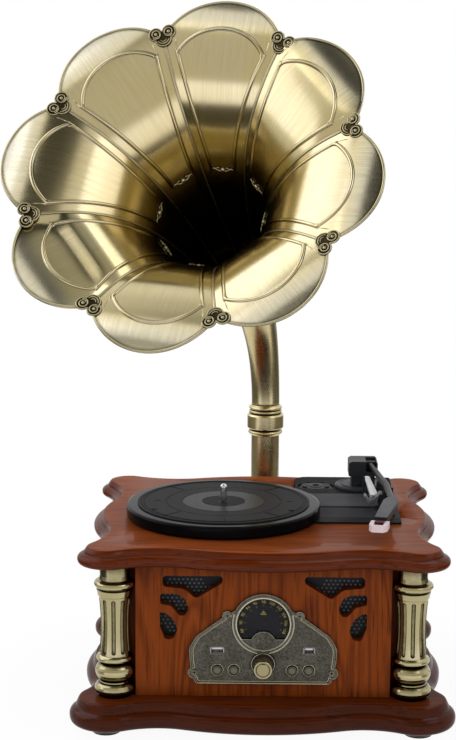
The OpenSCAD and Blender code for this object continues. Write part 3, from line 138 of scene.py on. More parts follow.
class Nodes:
    """Adds nodes to one tree in few words."""

    def __init__(self, tree):
        self.tree = tree

    def add(self, kind, inputs=(), **options):
        node = self.tree.nodes.new(kind)
        for key, value in options.items():
            setattr(node, key, value)
        for key, value in dict(inputs).items():
            self.put(node.inputs[key], value)
        return node

    def put(self, socket, value):
        if isinstance(value, bpy.types.NodeSocket):
            self.tree.links.new(value, socket)
        elif socket.type == "RGBA" and len(value) == 3:
            socket.default_value = (*value, 1.0)
        else:
            socket.default_value = value

    def maths(self, operation, first, second=0.0, clamp=False):
        node = self.add("ShaderNodeMath", operation=operation, use_clamp=clamp)
        self.put(node.inputs[0], first)
        self.put(node.inputs[1], second)
        return node.outputs[0]

    def times(self, first, *others):
        """The product of the values."""
        for value in others:
            first = self.maths("MULTIPLY", first, value)
        return first

    def vector(self, operation, first, second=(0.0, 0.0, 0.0), output=0):
        node = self.add("ShaderNodeVectorMath", operation=operation)
        self.put(node.inputs[0], first)
        self.put(node.inputs[1], second)
        return node.outputs[output]

    def scaled(self, vector, x, y, z):
        return self.vector("MULTIPLY", vector, (x, y, z))

    def mix(self, factor, first, second):
        node = self.add("ShaderNodeMix", data_type="RGBA")
        self.put(node.inputs[0], factor)
        self.put(node.inputs[6], first)
        self.put(node.inputs[7], second)
        return node.outputs[2]

    def noise(self, vector, scale, detail=2.0, distortion=0.0, roughness=0.5):
        return self.add("ShaderNodeTexNoise", {"Vector": vector, "Scale": scale, "Detail": detail,
                        "Distortion": distortion, "Roughness": roughness}).outputs["Fac"]

    def spread(self, value, low, high, out_low=0.0, out_high=1.0):
        return self.add("ShaderNodeMapRange", {"Value": value, "From Min": low, "From Max": high,
                        "To Min": out_low, "To Max": out_high}).outputs["Result"]

    def band(self, value, start, full, fade, end):
        """1 where the value is between full and fade, and 0 before start and after end."""
        return self.times(self.spread(value, start, full), self.spread(value, end, fade))

    def axis(self, vector, index):
        return self.add("ShaderNodeSeparateXYZ", {"Vector": vector}).outputs[index]

    def from_z(self, vector):
        """Distance from the Z axis."""
        return self.vector("LENGTH", self.scaled(vector, 1.0, 1.0, 0.0), output=1)

    def attribute(self, name):
        return self.add("ShaderNodeAttribute", attribute_name=name).outputs["Fac"]

    def openness(self, reach, **options):
        """1 in the open, less where the surface is closed in within the reach."""
        return self.add("ShaderNodeAmbientOcclusion", {"Distance": reach}, samples=8,
                        **options).outputs["AO"]

    def bump(self, height, strength, distance=0.0003):
        return self.add("ShaderNodeBump", {"Height": height, "Strength": strength,
                        "Distance": distance}).outputs[0]

    def group(self, name, **inputs):
        """A shared group, which is made the first time that it is asked for."""
        tree = bpy.data.node_groups.get(name) or GROUPS[name]()
        node = self.add("ShaderNodeGroup", node_tree=tree)
        for key, value in inputs.items():
            self.put(node.inputs[key], value)
        return node.outputs

    def smudged(self, place, low, high):
        return self.group("Smudge", Vector=place, Low=low, High=high)["Roughness"]

    def recess(self, place, reach, amount):
        return self.group("Recess", Vector=place, Reach=reach, Amount=amount)["Mask"]

    def place(self):
        return self.add("ShaderNodeTexCoord").outputs["Object"]

    def sheet(self):
        return self.add("ShaderNodeUVMap", uv_map="Sheet").outputs["UV"]

    def surface(self, shader, colour, roughness, normal=None):
        self.put(shader["Base Color"], colour)
        self.put(shader["Roughness"], roughness)
        if normal:
            self.put(shader["Normal"], normal)


def new_group(name, inputs, outputs):
    """An empty shared group: its tree, its nodes, and the sockets of its two ends."""
    tree = bpy.data.node_groups.new(name, "ShaderNodeTree")
    for label, kind, value in inputs:
        socket = tree.interface.new_socket(label, in_out="INPUT", socket_type="NodeSocket" + kind)
        if value is not None:
            socket.default_value = value
    for label, kind in outputs:
        tree.interface.new_socket(label, in_out="OUTPUT", socket_type="NodeSocket" + kind)
    nodes = Nodes(tree)
    return tree, nodes, nodes.add("NodeGroupInput").outputs, nodes.add("NodeGroupOutput").inputs


def wood_grain():
    """Colour and height of open-grained wood. The grain runs along Z of the vector."""
    tree, n, given, out = new_group(
        "Wood grain",
        [("Vector", "Vector", None), ("Light", "Color", (0.3, 0.1, 0.03, 1)),
         ("Dark", "Color", (0.1, 0.03, 0.01, 1)), ("Figure", "Float", 5.0)],
        [("Color", "Color"), ("Height", "Float"), ("Roughness", "Float")])

    def streaks(stretch, scale, detail, distortion=0.0):
        """Noise that is drawn out along the grain."""
        return n.noise(n.scaled(given["Vector"], 1.0, 1.0, stretch), scale, detail, distortion)
    swirl = streaks(0.16, 17.0, 2.0, 0.6)
    rings = n.spread(n.maths("SINE", n.times(swirl, given["Figure"], 12.0)), -1.0, 1.0)
    fibre = streaks(0.03, 700.0, 2.0)
    pores = n.spread(streaks(0.05, 420.0, 3.0), 0.54, 0.66)
    tone = streaks(0.3, 12.0, 2.0)
    mask = n.maths("ADD", n.times(n.maths("POWER", rings, 1.6), 0.46), n.times(fibre, 0.42))
    mask = n.maths("ADD", mask, n.times(n.maths("SUBTRACT", tone, 0.5), 0.45), True)
    base = n.mix(mask, given["Light"], given["Dark"])
    deep = n.mix(0.6, given["Dark"], (0.0, 0.0, 0.0))
    n.put(out["Color"], n.mix(n.times(pores, 0.55), base, deep))
    n.put(out["Height"], n.maths("SUBTRACT", 1.0, n.times(pores, 0.8)))
    n.put(out["Roughness"], n.spread(fibre, 0.3, 0.7, 0.36, 0.48))
    return tree


def brushed_lines():
    """Fine scratches along Y of the vector, as a value and a height."""
    tree, n, given, out = new_group(
        "Brushed lines", [("Vector", "Vector", None), ("Fineness", "Float", 1.0)],
        [("Value", "Float"), ("Height", "Float")])
    scale = n.times(given["Fineness"], 900.0)
    fine = n.noise(n.scaled(given["Vector"], 1.0, 0.02, 1.0), scale, 3.0)
    broad = n.noise(n.scaled(given["Vector"], 1.0, 0.06, 1.0), n.times(scale, 0.15), 2.0)
    n.put(out["Value"], n.maths("ADD", n.times(fine, 0.6), n.times(broad, 0.4)))
    n.put(out["Height"], fine)
    return tree


def recess_mask():
    """Where a surface lies in a crevice, from 0 in the open to 1 in the deep, broken up by noise."""
    tree, n, given, out = new_group(
        "Recess", [("Vector", "Vector", None), ("Reach", "Float", 0.006), ("Amount", "Float", 1.0)],
        [("Mask", "Float")])
    closed = n.spread(n.openness(given["Reach"]), 0.92, 0.45)
    rough = n.spread(n.noise(given["Vector"], 160.0, 3.0), 0.3, 0.7, 0.75, 1.15)
    n.put(out["Mask"], n.maths("MULTIPLY", n.times(closed, rough), given["Amount"], True))
    return tree


def dust_and_smudge():
    """Uneven gloss: a slow smudge with finer specks on it."""
    tree, n, given, out = new_group(
        "Smudge", [("Vector", "Vector", None), ("Low", "Float", 0.3), ("High", "Float", 0.5)],
        [("Roughness", "Float")])
    smear = n.noise(given["Vector"], 22.0, 4.0, 0.6)
    specks = n.noise(given["Vector"], 420.0, 2.0)
    both = n.maths("ADD", n.times(smear, 0.75), n.times(specks, 0.25))
    n.put(out["Roughness"], n.spread(both, 0.3, 0.7, given["Low"], given["High"]))
    return tree


GROUPS = {"Wood grain": wood_grain, "Brushed lines": brushed_lines, "Recess": recess_mask,
          "Smudge": dust_and_smudge}


# Materials

SPINDLE = (-0.043, -0.015)
# Where the deck's two bands of painted sheen start, are full, fade and end, along Y
NEAR_BAND = (-0.0275, -0.0265, 0.0115, 0.0125)
FAR_BAND = (0.0195, 0.0205, 0.0735, 0.0745)
# The same for the mat's smooth ring, which is also painted lighter as sheen, from the spindle
# outwards, and the edge of its middle
MAT_RING = (0.0224, 0.0226, 0.0424, 0.0436)
MAT_MIDDLE = (0.0222, 0.0218)


def shader(name, **constants):
    """An empty material with its shader: the nodes, and the shader's inputs."""
    material = bpy.data.materials.new(name)
    material.use_nodes = True
    material.node_tree.nodes.clear()
    n = Nodes(material.node_tree)
    surface = n.add("ShaderNodeBsdfPrincipled")
    for key, value in constants.items():
        n.put(surface.inputs[key.replace("_", " ")], value)
    n.add("ShaderNodeOutputMaterial", {"Surface": surface.outputs[0]})
    return material, n, surface.inputs


def petal_brass(name):
    """Brushed sheet: lines along the petal, patina and painted shade in the creases and along the
    rolled rim, and painted shade towards the throat.
    """
    material, n, put = shader(name, Metallic=1.0, Coat_Weight=0.4, Coat_Roughness=0.12)
    place = n.place()
    sheet = n.sheet()
    lines = n.group("Brushed lines", Vector=sheet, Fineness=1.8)
    from_axis = n.axis(sheet, 1)
    cloud = n.noise(place, 11.0, 3.0, 0.6)
    bright = n.mix(n.spread(cloud, 0.35, 0.65, 0.0, 0.4), colours().brass, colours().brim)
    bright = n.mix(n.spread(from_axis, 0.158, 0.174), bright, colours().brim)
    # Painted shade: deeper gold brass from here in towards the throat
    bright = n.mix(n.spread(from_axis, 0.112, 0.078), bright, colours().deep)
    streaky = n.mix(n.spread(lines["Value"], 0.36, 0.64, 0.0, 0.22), bright, (0.34, 0.27, 0.12))
    # Painted shade: near black further in, where the throat lies in shadow
    throat = n.spread(from_axis, 0.070, 0.031, 0.0, 0.95)
    deep = n.mix(throat, streaky, (0.030, 0.019, 0.006))
    uneven = n.spread(n.noise(place, 90.0, 3.0), 0.3, 0.7, 0.7, 1.0)
    # Patina and painted shade in the creases, from the crease value
    patina_and_painted_shade = n.maths("MULTIPLY", n.attribute("crease"), uneven, True)
    n.surface(put, n.mix(patina_and_painted_shade, deep, colours().brass_dark),
              n.spread(lines["Value"], 0.3, 0.7, 0.13, 0.21), n.bump(lines["Height"], 0.05))
    return material


def turned_brass(name, tone, low, high, reach, amount=1.0):
    """Antique brass with dark patina in its hollows, which on the columns is partly painted shade,
    and in the floors that carry "patina".
    """
    material, n, put = shader(name, Metallic=1.0)
    place = n.place()
    dark = n.maths("MAXIMUM", n.recess(place, reach, amount), n.attribute("patina"))
    cloud = n.noise(place, 45.0, 4.0, 0.5)
    lines = n.group("Brushed lines", Vector=place, Fineness=0.6)
    bright = n.mix(n.spread(cloud, 0.35, 0.7, 0.0, 0.20), tone, [0.5 * c for c in tone])
    n.surface(put, n.mix(dark, bright, colours().brass_dark), n.smudged(place, low, high),
              n.bump(lines["Height"], 0.025))
    return material


def panel_wood(name, light, dark, figure):
    """Lacquered wood whose grain runs upright, with painted shade in its corners and between parts.
    """
    material, n, put = shader(name, Specular_IOR_Level=0.06, Coat_Weight=0.02, Coat_Roughness=0.2)
    place = n.place()
    wood = n.group("Wood grain", Vector=place, Light=light, Dark=dark, Figure=figure)
    # Painted shade, up to 2 cm into corners and beside other parts
    shade = n.recess(place, 0.02, 0.35)
    n.surface(put, n.mix(shade, wood["Color"], (0.02, 0.004, 0.001)), wood["Roughness"],
              n.bump(wood["Height"], 0.15))
    return material


def board_wood(name, light, dark, stained):
    """A moulded board: pale grain across the flat, dark stain on the moulded edge."""
    material, n, put = shader(name, Specular_IOR_Level=0.015, Coat_Roughness=0.08)
    place = n.place()
    across = n.add("ShaderNodeCombineXYZ", {"X": n.axis(place, 2), "Y": n.axis(place, 1),
                   "Z": n.axis(place, 0)}).outputs[0]
    edge = n.attribute("edge")
    darker = [0.72 * c for c in stained]
    flat = n.group("Wood grain", Vector=across, Light=light, Dark=dark, Figure=3.5)
    stain = n.group("Wood grain", Vector=across, Light=stained, Dark=darker, Figure=4.0)
    n.surface(put, n.mix(edge, flat["Color"], stain["Color"]),
              n.mix(edge, flat["Roughness"], (0.26, 0.26, 0.26)), n.bump(flat["Height"], 0.08))
    n.put(put["Coat Weight"], n.spread(edge, 0.0, 1.0, 0.12, 0.24))
    return material


def moulded_plastic(name, colour, low, high, texture=0.3, gloss=0.3):
    """Plastic of roughness low to high, with a fine moulded texture."""
    material, n, put = shader(name, Specular_IOR_Level=gloss)
    place = n.place()
    cloud = n.noise(place, 30.0, 3.0)
    lighter = [min(1.0, c * 1.6 + 0.004) for c in colour]
    n.surface(put, n.mix(n.spread(cloud, 0.3, 0.7, 0.0, 0.5), colour, lighter),
              n.smudged(place, low, high), n.bump(n.noise(place, 1800.0, 2.0), texture, 0.0001))
    return material


def machined(name, colour, low, high):
    """Machined metal of roughness low to high, with painted shade in its corners."""
    material, n, put = shader(name, Metallic=1.0)
    place = n.place()
    streaks = n.group("Brushed lines", Vector=place, Fineness=1.4)
    # Painted shade in the corners
    n.surface(put, n.mix(n.recess(place, 0.003, 0.8), colour, [c * 0.25 for c in colour]),
              n.smudged(place, low, high), n.bump(streaks["Height"], 0.05, 0.0002))
    return material


def cast_plate(name):
    """The plate round the dial: dark pewter-coloured brass, pitted, with bright worn edges."""
    material, n, put = shader(name, Metallic=1.0)
    place = n.place()
    pits = n.noise(place, 900.0, 4.0)
    blotch = n.noise(place, 70.0, 4.0, 0.4)
    tone = n.mix(n.spread(blotch, 0.3, 0.7), colours().pewter, (0.085, 0.078, 0.062))
    tone = n.mix(n.spread(pits, 0.42, 0.66, 0.0, 0.75), tone, (0.025, 0.021, 0.015))
    worn = n.spread(n.openness(0.0012, inside=True), 0.75, 0.35)
    tone = n.mix(worn, tone, (0.60, 0.55, 0.38))
    n.surface(put, n.mix(n.recess(place, 0.004, 1.0), tone, (0.02, 0.016, 0.010)),
              n.spread(pits, 0.3, 0.7, 0.36, 0.55), n.bump(pits, 0.35))
    return material


def deck_plastic(name):
    """The deck's black moulding: the two flat bands are painted a shade lighter than the rear part,
    as painted sheen.
    """
    material, n, put = shader(name, Specular_IOR_Level=0.018)
    place = n.place()
    along = n.axis(place, 1)
    # Painted sheen on the two flat bands
    painted_sheen_bands = n.maths("ADD", n.times(n.band(along, *NEAR_BAND), 0.35), n.band(along, *FAR_BAND), True)
    tone = n.mix(painted_sheen_bands, (0.007, 0.007, 0.008), (0.066, 0.067, 0.072))
    cloud = n.spread(n.noise(place, 40.0, 3.0), 0.3, 0.7, 0.0, 0.25)
    n.surface(put, n.mix(cloud, tone, (0.022, 0.022, 0.024)), n.smudged(place, 0.42, 0.56),
              n.bump(n.noise(place, 1800.0, 2.0), 0.35, 0.0001))
    return material


def mat_rubber(name):
    """The slip mat: dull rubber with a smooth shinier ring about the spindle, painted a little
    lighter there as sheen.
    """
    material, n, put = shader(name, Specular_IOR_Level=0.045)
    place = n.place()
    away = n.from_z(n.vector("SUBTRACT", place, (*SPINDLE, 0.0)))
    smooth_ring_and_sheen = n.band(away, *MAT_RING)
    hairs = n.noise(place, 700.0, 3.0)
    tone = n.mix(n.spread(hairs, 0.3, 0.7), (0.013, 0.013, 0.0135), (0.024, 0.024, 0.025))
    # Painted sheen: the smooth ring is painted a little lighter
    tone = n.mix(n.times(smooth_ring_and_sheen, 0.5), tone, (0.034, 0.034, 0.034))
    dull = n.spread(hairs, 0.3, 0.7, 0.46, 0.6)
    n.surface(put, n.mix(n.spread(away, *MAT_MIDDLE), tone, (0.010, 0.010, 0.0105)),
              n.maths("SUBTRACT", dull, n.times(smooth_ring_and_sheen, 0.20)), n.bump(hairs, 0.3, 0.0001))
    return material


def felt_wool(name, colour):
    """Dull felt with fine fibres."""
    material, n, put = shader(name, Sheen_Weight=0.3)
    fibres = n.noise(n.place(), 1400.0, 4.0, 0.6)
    lighter = [min(1.0, c * 2 + 0.01) for c in colour]
    n.surface(put, n.mix(n.spread(fibres, 0.3, 0.7), colour, lighter), 0.95,
              n.bump(fibres, 0.5, 0.0004))
    return material


def circuit_lacquer(name):
    """Green lacquer over a grid of tracks."""
    material, n, put = shader(name, Coat_Weight=0.5)
    place = n.place()
    tracks = n.add("ShaderNodeTexBrick", {
        "Vector": place, "Scale": 120.0, "Mortar Size": 0.03, "Color1": (0.02, 0.16, 0.06),
        "Color2": (0.03, 0.20, 0.08), "Mortar": (0.08, 0.30, 0.14)})
    n.surface(put, tracks.outputs["Color"], n.smudged(place, 0.3, 0.5))
    return material


def clear_sheet(name):
    """The dial's thin clear cover, which mostly lets the dial show and shines a little."""
    material, n, put = shader(name, Alpha=0.07, Specular_IOR_Level=0.3)
    haze = n.noise(n.place(), 120.0, 3.0)
    n.surface(put, n.mix(n.spread(haze, 0.3, 0.7), (0.02, 0.022, 0.026), (0.05, 0.052, 0.058)),
              n.spread(haze, 0.3, 0.7, 0.06, 0.12))
    return material


# What makes each finish, and its values: a colour by its value or its name in GramophoneColours,
# roughness low and high, then texture and gloss for plastic, or reach and amount for brass
FINISHES = {
    "Brushed brass sheet": (petal_brass,),
    "Cast brass": (turned_brass, (0.50, 0.44, 0.25), 0.24, 0.36, 0.004, 1.35),
    "Turned brass": (turned_brass, "brass", 0.24, 0.32, 0.006),
    # Painted shade: darker brass and wide deep hollows, partly patina in the flutes, partly shade
    "Column brass": (turned_brass, "column", 0.14, 0.22, 0.016, 1.45),
    "Rim brass": (turned_brass, (0.42, 0.37, 0.235), 0.25, 0.4, 0.002),
    "Bezel brass": (turned_brass, (0.55, 0.49, 0.32), 0.2, 0.3, 0.002),
    "Bright steel": (machined, (0.55, 0.55, 0.56), 0.15, 0.3),
    "Dark screw": (machined, (0.16, 0.15, 0.12), 0.3, 0.45),
    "Knob brass": (machined, (0.33, 0.28, 0.150), 0.2, 0.32),
    "Button metal": (machined, (0.13, 0.12, 0.088), 0.25, 0.4),
    # Painted shadow: the dark ring on each button
    "Groove metal": (machined, (0.03, 0.027, 0.02), 0.3, 0.4),
    "Pulley brass": (machined, (0.55, 0.42, 0.18), 0.2, 0.35),
    "Aged plate": (cast_plate,),
    "Top board wood": (board_wood, "top_light", "top_dark", "moulding"),
    # Painted shade: the base board is a darker copy of the top board's wood, for the shadow under the
    # top
    "Base board wood": (board_wood, (0.110, 0.021, 0.0035), (0.060, 0.010, 0.0016),
                        (0.060, 0.0095, 0.0012)),
    "Front wood": (panel_wood, "wood_light", "wood_dark", 6.5),
    "Deck plastic": (deck_plastic,),
    "Mat rubber": (mat_rubber,),
    "Foot felt": (felt_wool, (0.02, 0.02, 0.02)),
    "Circuit board": (circuit_lacquer,),
    "Clear window": (clear_sheet,),
    "Black plastic": (moulded_plastic, "plastic", 0.30, 0.44, 0.25, 0.16),
    "Grille steel": (moulded_plastic, (0.006, 0.006, 0.0065), 0.35, 0.5, 0.1, 0.15),
    "Grille backing": (moulded_plastic, (0.13, 0.13, 0.135), 0.6, 0.8, 0.1, 0.1),
    "Speaker basket": (moulded_plastic, (0.03, 0.03, 0.032), 0.4, 0.6, 0.2),
    "Dial face": (moulded_plastic, (0.006, 0.006, 0.007), 0.3, 0.45, 0.1, 0.15),
    "Dial ink": (moulded_plastic, "dial_ink", 0.4, 0.6, 0.1, 0.1),
    # Painted shade: the dark of the screws' slots
    "Screw slot": (moulded_plastic, (0.004, 0.004, 0.004), 0.5, 0.7, 0.1, 0.1),
    "Rear sockets": (moulded_plastic, (0.02, 0.02, 0.02), 0.35, 0.5),
    "Platter plastic": (moulded_plastic, (0.0015, 0.0015, 0.0017), 0.12, 0.20, 0.03, 0.05),
    "Mat marks": (moulded_plastic, (0.001, 0.001, 0.001), 0.45, 0.6, 0.1, 0.02),
    # Painted shade: the dark of the adapter's finger hollows
    "Adapter hollows": (moulded_plastic, (0.004, 0.004, 0.0045), 0.4, 0.5, 0.1, 0.1),
    "Adapter grey": (moulded_plastic, (0.018, 0.018, 0.020), 0.35, 0.5, 0.1, 0.10),
    "Belt rubber": (moulded_plastic, (0.012, 0.012, 0.012), 0.6, 0.8),
    "Switch plastic": (moulded_plastic, (0.02, 0.02, 0.02), 0.4, 0.5),
    "Arm grey": (moulded_plastic, "arm", 0.3, 0.45, 0.15, 0.16),
    "Cartridge red": (moulded_plastic, (0.05, 0.006, 0.010), 0.3, 0.42, 0.1),
    "Guard white": (moulded_plastic, (0.62, 0.50, 0.50), 0.35, 0.5, 0.1),
    "Clip grey": (moulded_plastic, (0.10, 0.105, 0.115), 0.35, 0.5, 0.15),
    "Lever white": (moulded_plastic, (0.66, 0.66, 0.64), 0.3, 0.42, 0.1),
}


def finish(name):
    """The material of that name, made the first time that it is asked for."""
    made = bpy.data.materials.get(name)
    if made:
        return made
    build, *values = FINISHES[name]
    return build(name, *[getattr(colours(), value)[:] if isinstance(value, str) else value
                         for value in values])


# Mesh helpers

UP = Vector((0, 0, 1))
OUT = Vector((0, -1, 0))
# Turns a flat shape's face to the front
UPRIGHT = Matrix.Rotation(math.pi / 2, 4, "X")


def linked(name, data):
    """A new object in the scene."""
    obj = bpy.data.objects.new(name, data)
    bpy.context.scene.collection.objects.link(obj)
    return obj


def closed_mesh(name, bm):
    """A mesh from a bmesh, which is freed."""
    mesh = bpy.data.meshes.new(name)
    bm.to_mesh(mesh)
    bm.free()
    return mesh


def final_mesh(obj):
    """The object's mesh with its modifiers, or a text's letters, applied."""
    bpy.context.view_layer.update()
    return bpy.data.meshes.new_from_object(obj.evaluated_get(bpy.context.evaluated_depsgraph_get()))


def piece(name, bm, body, material, smooth=True):
    """Closes a bmesh into an object that rides on a body, in the finish of that name."""
    for face in bm.faces:
        face.smooth = smooth
    obj = linked(name, closed_mesh(name, bm))
    obj.data.materials.append(finish(material))
    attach(obj, body)
    return obj


def outwards(bm):
    """Turns every face outwards."""
    bmesh.ops.recalc_face_normals(bm, faces=bm.faces)


def turned_by(degrees):
    """A turn about Z."""
    return Matrix.Rotation(math.radians(degrees), 4, "Z")


def ellipse(centre, a, b, sides):
    """Points round a centre, from the vector a towards the vector b."""
    turns = [2 * math.pi * k / sides for k in range(sides)]
    return [centre + a * math.cos(turn) + b * math.sin(turn) for turn in turns]


def skin(bm, rings, caps=True):
    """Faces between rings of points, each ring the same length."""
    rows = [[bm.verts.new(point) for point in ring] for ring in rings]
    count = len(rows[0])
    for low, high in zip(rows, rows[1:]):
        for i in range(count):
            j = (i + 1) % count
            bm.faces.new((low[i], low[j], high[j], high[i]))
    if caps:
        bm.faces.new(list(reversed(rows[0])))
        bm.faces.new(rows[-1])
    return rows


def wire_loop(bm, rings):
    """A tube that ends where it starts."""
    skin(bm, rings + rings[:1], caps=False)
    bmesh.ops.remove_doubles(bm, verts=bm.verts, dist=0.000001)
    outwards(bm)


def swept(bm, path, radius, sides=8, squash=1.0, up=UP):
    """A closed tube along a path. The radius is a number or a function of the share of the path."""
    rings = []
    for i, centre in enumerate(path):
        ahead = (path[min(i + 1, len(path) - 1)] - path[max(i - 1, 0)]).normalized()
        side = ahead.cross(up).normalized()
        r = radius(i / (len(path) - 1)) if callable(radius) else radius
        rings.append(ellipse(centre, side * r, side.cross(ahead) * r * squash, sides))
    skin(bm, rings)


def turned(bm, profile, centre=(0, 0, 0), sides=48, matrix=None):
    """A closed solid turned about Z from (radius, height) points, lowest first."""
    matrix = matrix or Matrix.Translation(centre)
    rings = []
    for r, z in profile:
        ring = ellipse(Vector((0, 0, z)), Vector((r, 0, 0)), Vector((0, r, 0)), sides)
        rings.append([matrix @ point for point in ring])
    skin(bm, rings)


def scaled_profile(*points):
    """A profile for turned() from points in millimetres."""
    return [(r * MM, z * MM) for r, z in points]


def dress(material, *nodes):
    """Gives CAD nodes the finish of that name."""
    for name in nodes:
        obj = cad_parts[name]
        if not obj.material_slots:
            obj.data.materials.append(finish(material))
        for slot in obj.material_slots:
            slot.material = finish(material)


# Horn

# Where the neck stands on the pipe
NECK_FOOT = Vector((0, 0.190, 0.2694))


def ahead_of_horn():
    """The way that the horn points, seen from above."""
    turn = sizes().turn
    return Vector((-math.sin(turn), -math.cos(turn), 0))


def neck_point(t):
    """Centre of the neck where it has bent by the angle t."""
    bend = sizes().neck_bend
    return NECK_FOOT + ahead_of_horn() * bend * (1 - math.cos(t)) + UP * bend * math.sin(t)


def horn_matrix():
    """The matrix of the horn's mouth, with Z out along the horn's axis."""
    s = sizes()
    axis = ahead_of_horn() * math.cos(s.elevation) + UP * math.sin(s.elevation)
    mouth = neck_point(math.pi / 2 - s.elevation) + axis * s.horn_length
    tilt = Matrix.Rotation(-s.turn, 4, "Z") @ Matrix.Rotation(math.pi / 2 - s.elevation, 4, "X")
    return Matrix.Translation(mouth) @ tilt @ Matrix.Rotation(s.roll, 4, "Z")


def petal_place(number, along=0.0):
    """The horn's matrix turned to a petal, or by a share of the way to the petal before it."""
    angle = math.pi / 2 + 2 * HALF_PETAL * (along + 1 - number)
    return horn_matrix() @ Matrix.Rotation(angle, 4, "Z")


class Flare:
    """The shape of one petal: its depth, its rim, and the embossed bead."""

    BRIM_START = 0.107
    # A leaning brim starts here, leans fully this far past the shoulder, and pivots near its tip
    LEAN_START = 0.112
    LEAN_PAST = 0.012
    PIVOT_TO_TIP = 0.008
    GARLAND = 0.0565
    BEAD_TO_TIP = 0.032
    SHOULDER_BACK = 0.0165
    # Shares of a petal's half width at the side bead's inner flank, its middle and its outer flank
    BEAD_FROM, BEAD_MIDDLE, BEAD_TO = 0.7, 0.75, 0.8

    def __init__(self):
        s = sizes()
        self.s = s
        self.ring_a = s.ring * math.cos(HALF_PETAL)
        self.roll = s.brim_roll / (s.tip - self.BRIM_START) ** 2
        lift = self.roll * (self.ring_a - self.BRIM_START) ** 2
        self.k = (s.horn_length + lift) / (1 / s.throat - 1 / self.ring_a)
        self.c = self.k / self.ring_a + lift
        ring_u = s.ring * math.sin(HALF_PETAL)
        rise = s.tip - self.ring_a
        self.rim_r = (ring_u ** 2 + rise ** 2) / (2 * rise)
        self.rim_c = s.tip - self.rim_r
        self.rim_angle = math.atan2(ring_u, self.ring_a - self.rim_c)
        self.shoulder = self.ring_a - self.SHOULDER_BACK
        self.corner_a = self.shoulder + 0.0022
        self.corner_u = self.corner_a * math.tan(HALF_PETAL) - s.bead_in
        bead_rise = s.tip - self.BEAD_TO_TIP - self.corner_a
        self.bead_r = (self.corner_u ** 2 + bead_rise ** 2) / (2 * bead_rise)
        self.bead_c = s.tip - self.BEAD_TO_TIP - self.bead_r
        self.bead_angle = math.atan2(self.corner_u, self.corner_a - self.bead_c)

    def depth(self, a):
        return self.c - self.k / a - self.roll * max(0.0, a - self.BRIM_START) ** 2

    def slope(self, a):
        return self.k / a ** 2 - 2 * self.roll * max(0.0, a - self.BRIM_START)

    def seam(self, a):
        return a * math.tan(HALF_PETAL)

    def gap(self, a):
        return min(self.s.bead_in, self.seam(a) * 0.45)

    def bead_width(self, a):
        return min(self.s.bead_half, self.gap(a) * 0.4)

    def across(self, a, q):
        """Distance from the petal's middle line at the share q, below the shoulder."""
        share, edge, half = abs(q), self.seam(a) - self.gap(a), self.bead_width(a)
        if share <= self.BEAD_FROM:
            u = share / self.BEAD_FROM * (edge - half)
        elif share <= self.BEAD_TO:
            u = edge + self.bead_offset(q) * half
        else:
            beyond = (share - self.BEAD_TO) / (1 - self.BEAD_TO)
            u = edge + half + beyond * (self.seam(a) - edge - half)
        return math.copysign(u, q)

    def bead_offset(self, q):
        """Place of the share q across the side bead, from -1 to 1."""
        return (abs(q) - self.BEAD_MIDDLE) / (self.BEAD_TO - self.BEAD_MIDDLE)

    def arc(self, centre, radius, angle):
        return centre + radius * math.cos(angle), radius * math.sin(angle)

    def bead_row(self, s, q):
        if abs(q) > self.BEAD_MIDDLE:
            a = self.corner_a + 0.002 * s + 0.0006
            return a, self.across(a, q)
        angle = self.bead_angle * q / self.BEAD_MIDDLE
        return self.arc(self.bead_c, self.bead_r + self.s.bead_half * s, angle)

    def rim_row(self, q):
        return self.arc(self.rim_c, self.rim_r, self.rim_angle * q)

    def side_bead(self, q):
        """Height of the side bead at the share q, from 0 to 1."""
        return math.sqrt(max(0.0, 1 - self.bead_offset(q) ** 2))

    def bead_growth(self, a):
        """How far the bead has risen beyond the garland, from 0 to 1."""
        return min(1.0, max(0.0, (a - self.GARLAND) / 0.003))

    def point(self, a, u, raised, back=0.0, lean=0.0):
        """A point on the sheet. A brim that leans pivots near its tip and stays put at the seams."""
        slope = self.slope(a)
        length = math.hypot(1, slope)
        shift = back - raised
        moved = a + shift * slope / length
        start = self.LEAN_START
        share = min(1.0, max(0.0, (a - start) / (self.shoulder + self.LEAN_PAST - start)))
        ease = share * share * (3 - 2 * share)
        within = 1.0 - min(1.0, abs(u) / (self.seam(min(a, self.ring_a)) + 1e-9)) ** 6
        tipped = lean * (a - self.s.tip + self.PIVOT_TO_TIP) * ease * within
        return Vector((moved, u * moved / a, self.depth(a) + tipped - shift / length))


def petal_columns():
    """The columns' shares of a petal's half width, closer together at the beads."""
    outer = [1.0, 0.965, 0.93, 0.88, 0.835, 0.81, 0.8]
    bead = [0.79, 0.775, 0.7625, 0.75, 0.7375, 0.725, 0.71, 0.7]
    inner = [0.69, 0.665] + [0.7 * (1 - k / 11) for k in range(1, 11)]
    half = outer + bead + inner
    return [-q for q in half] + [0.0] + list(reversed(half))


def beside_bead(offset):
    """How deep a crease is, by the distance from a bead's middle in half widths."""
    return max(0.0, 1.0 - abs(abs(offset) - 1.05) / 0.42)


def crease_depth(flare, a, u, q):
    """Patina and painted shade: beside the beads, along the seams and under the rolled rim."""
    half = flare.bead_width(a)
    side = 0.0
    if a < flare.corner_a + 0.002:
        side = beside_bead((abs(u) - flare.seam(a) + flare.gap(a)) / half) * flare.bead_growth(a)
    top = 0.0
    if abs(q) <= 0.76 and a > flare.corner_a - 0.004:
        reach = math.hypot(a - flare.bead_c, u) - flare.bead_r
        top = beside_bead(reach / flare.s.bead_half)
    seam = max(0.0, 1.0 - (flare.seam(a) - abs(u)) / 0.0022) if a < flare.ring_a else 0.0
    rim = flare.rim_r - math.hypot(a - flare.rim_c, u)
    fold = max(0.0, 1.0 - abs(rim - 0.0026) / 0.0022) if a > flare.shoulder else 0.0
    return min(1.0, max(0.85 * side, 0.85 * top, 0.9 * seam, fold))


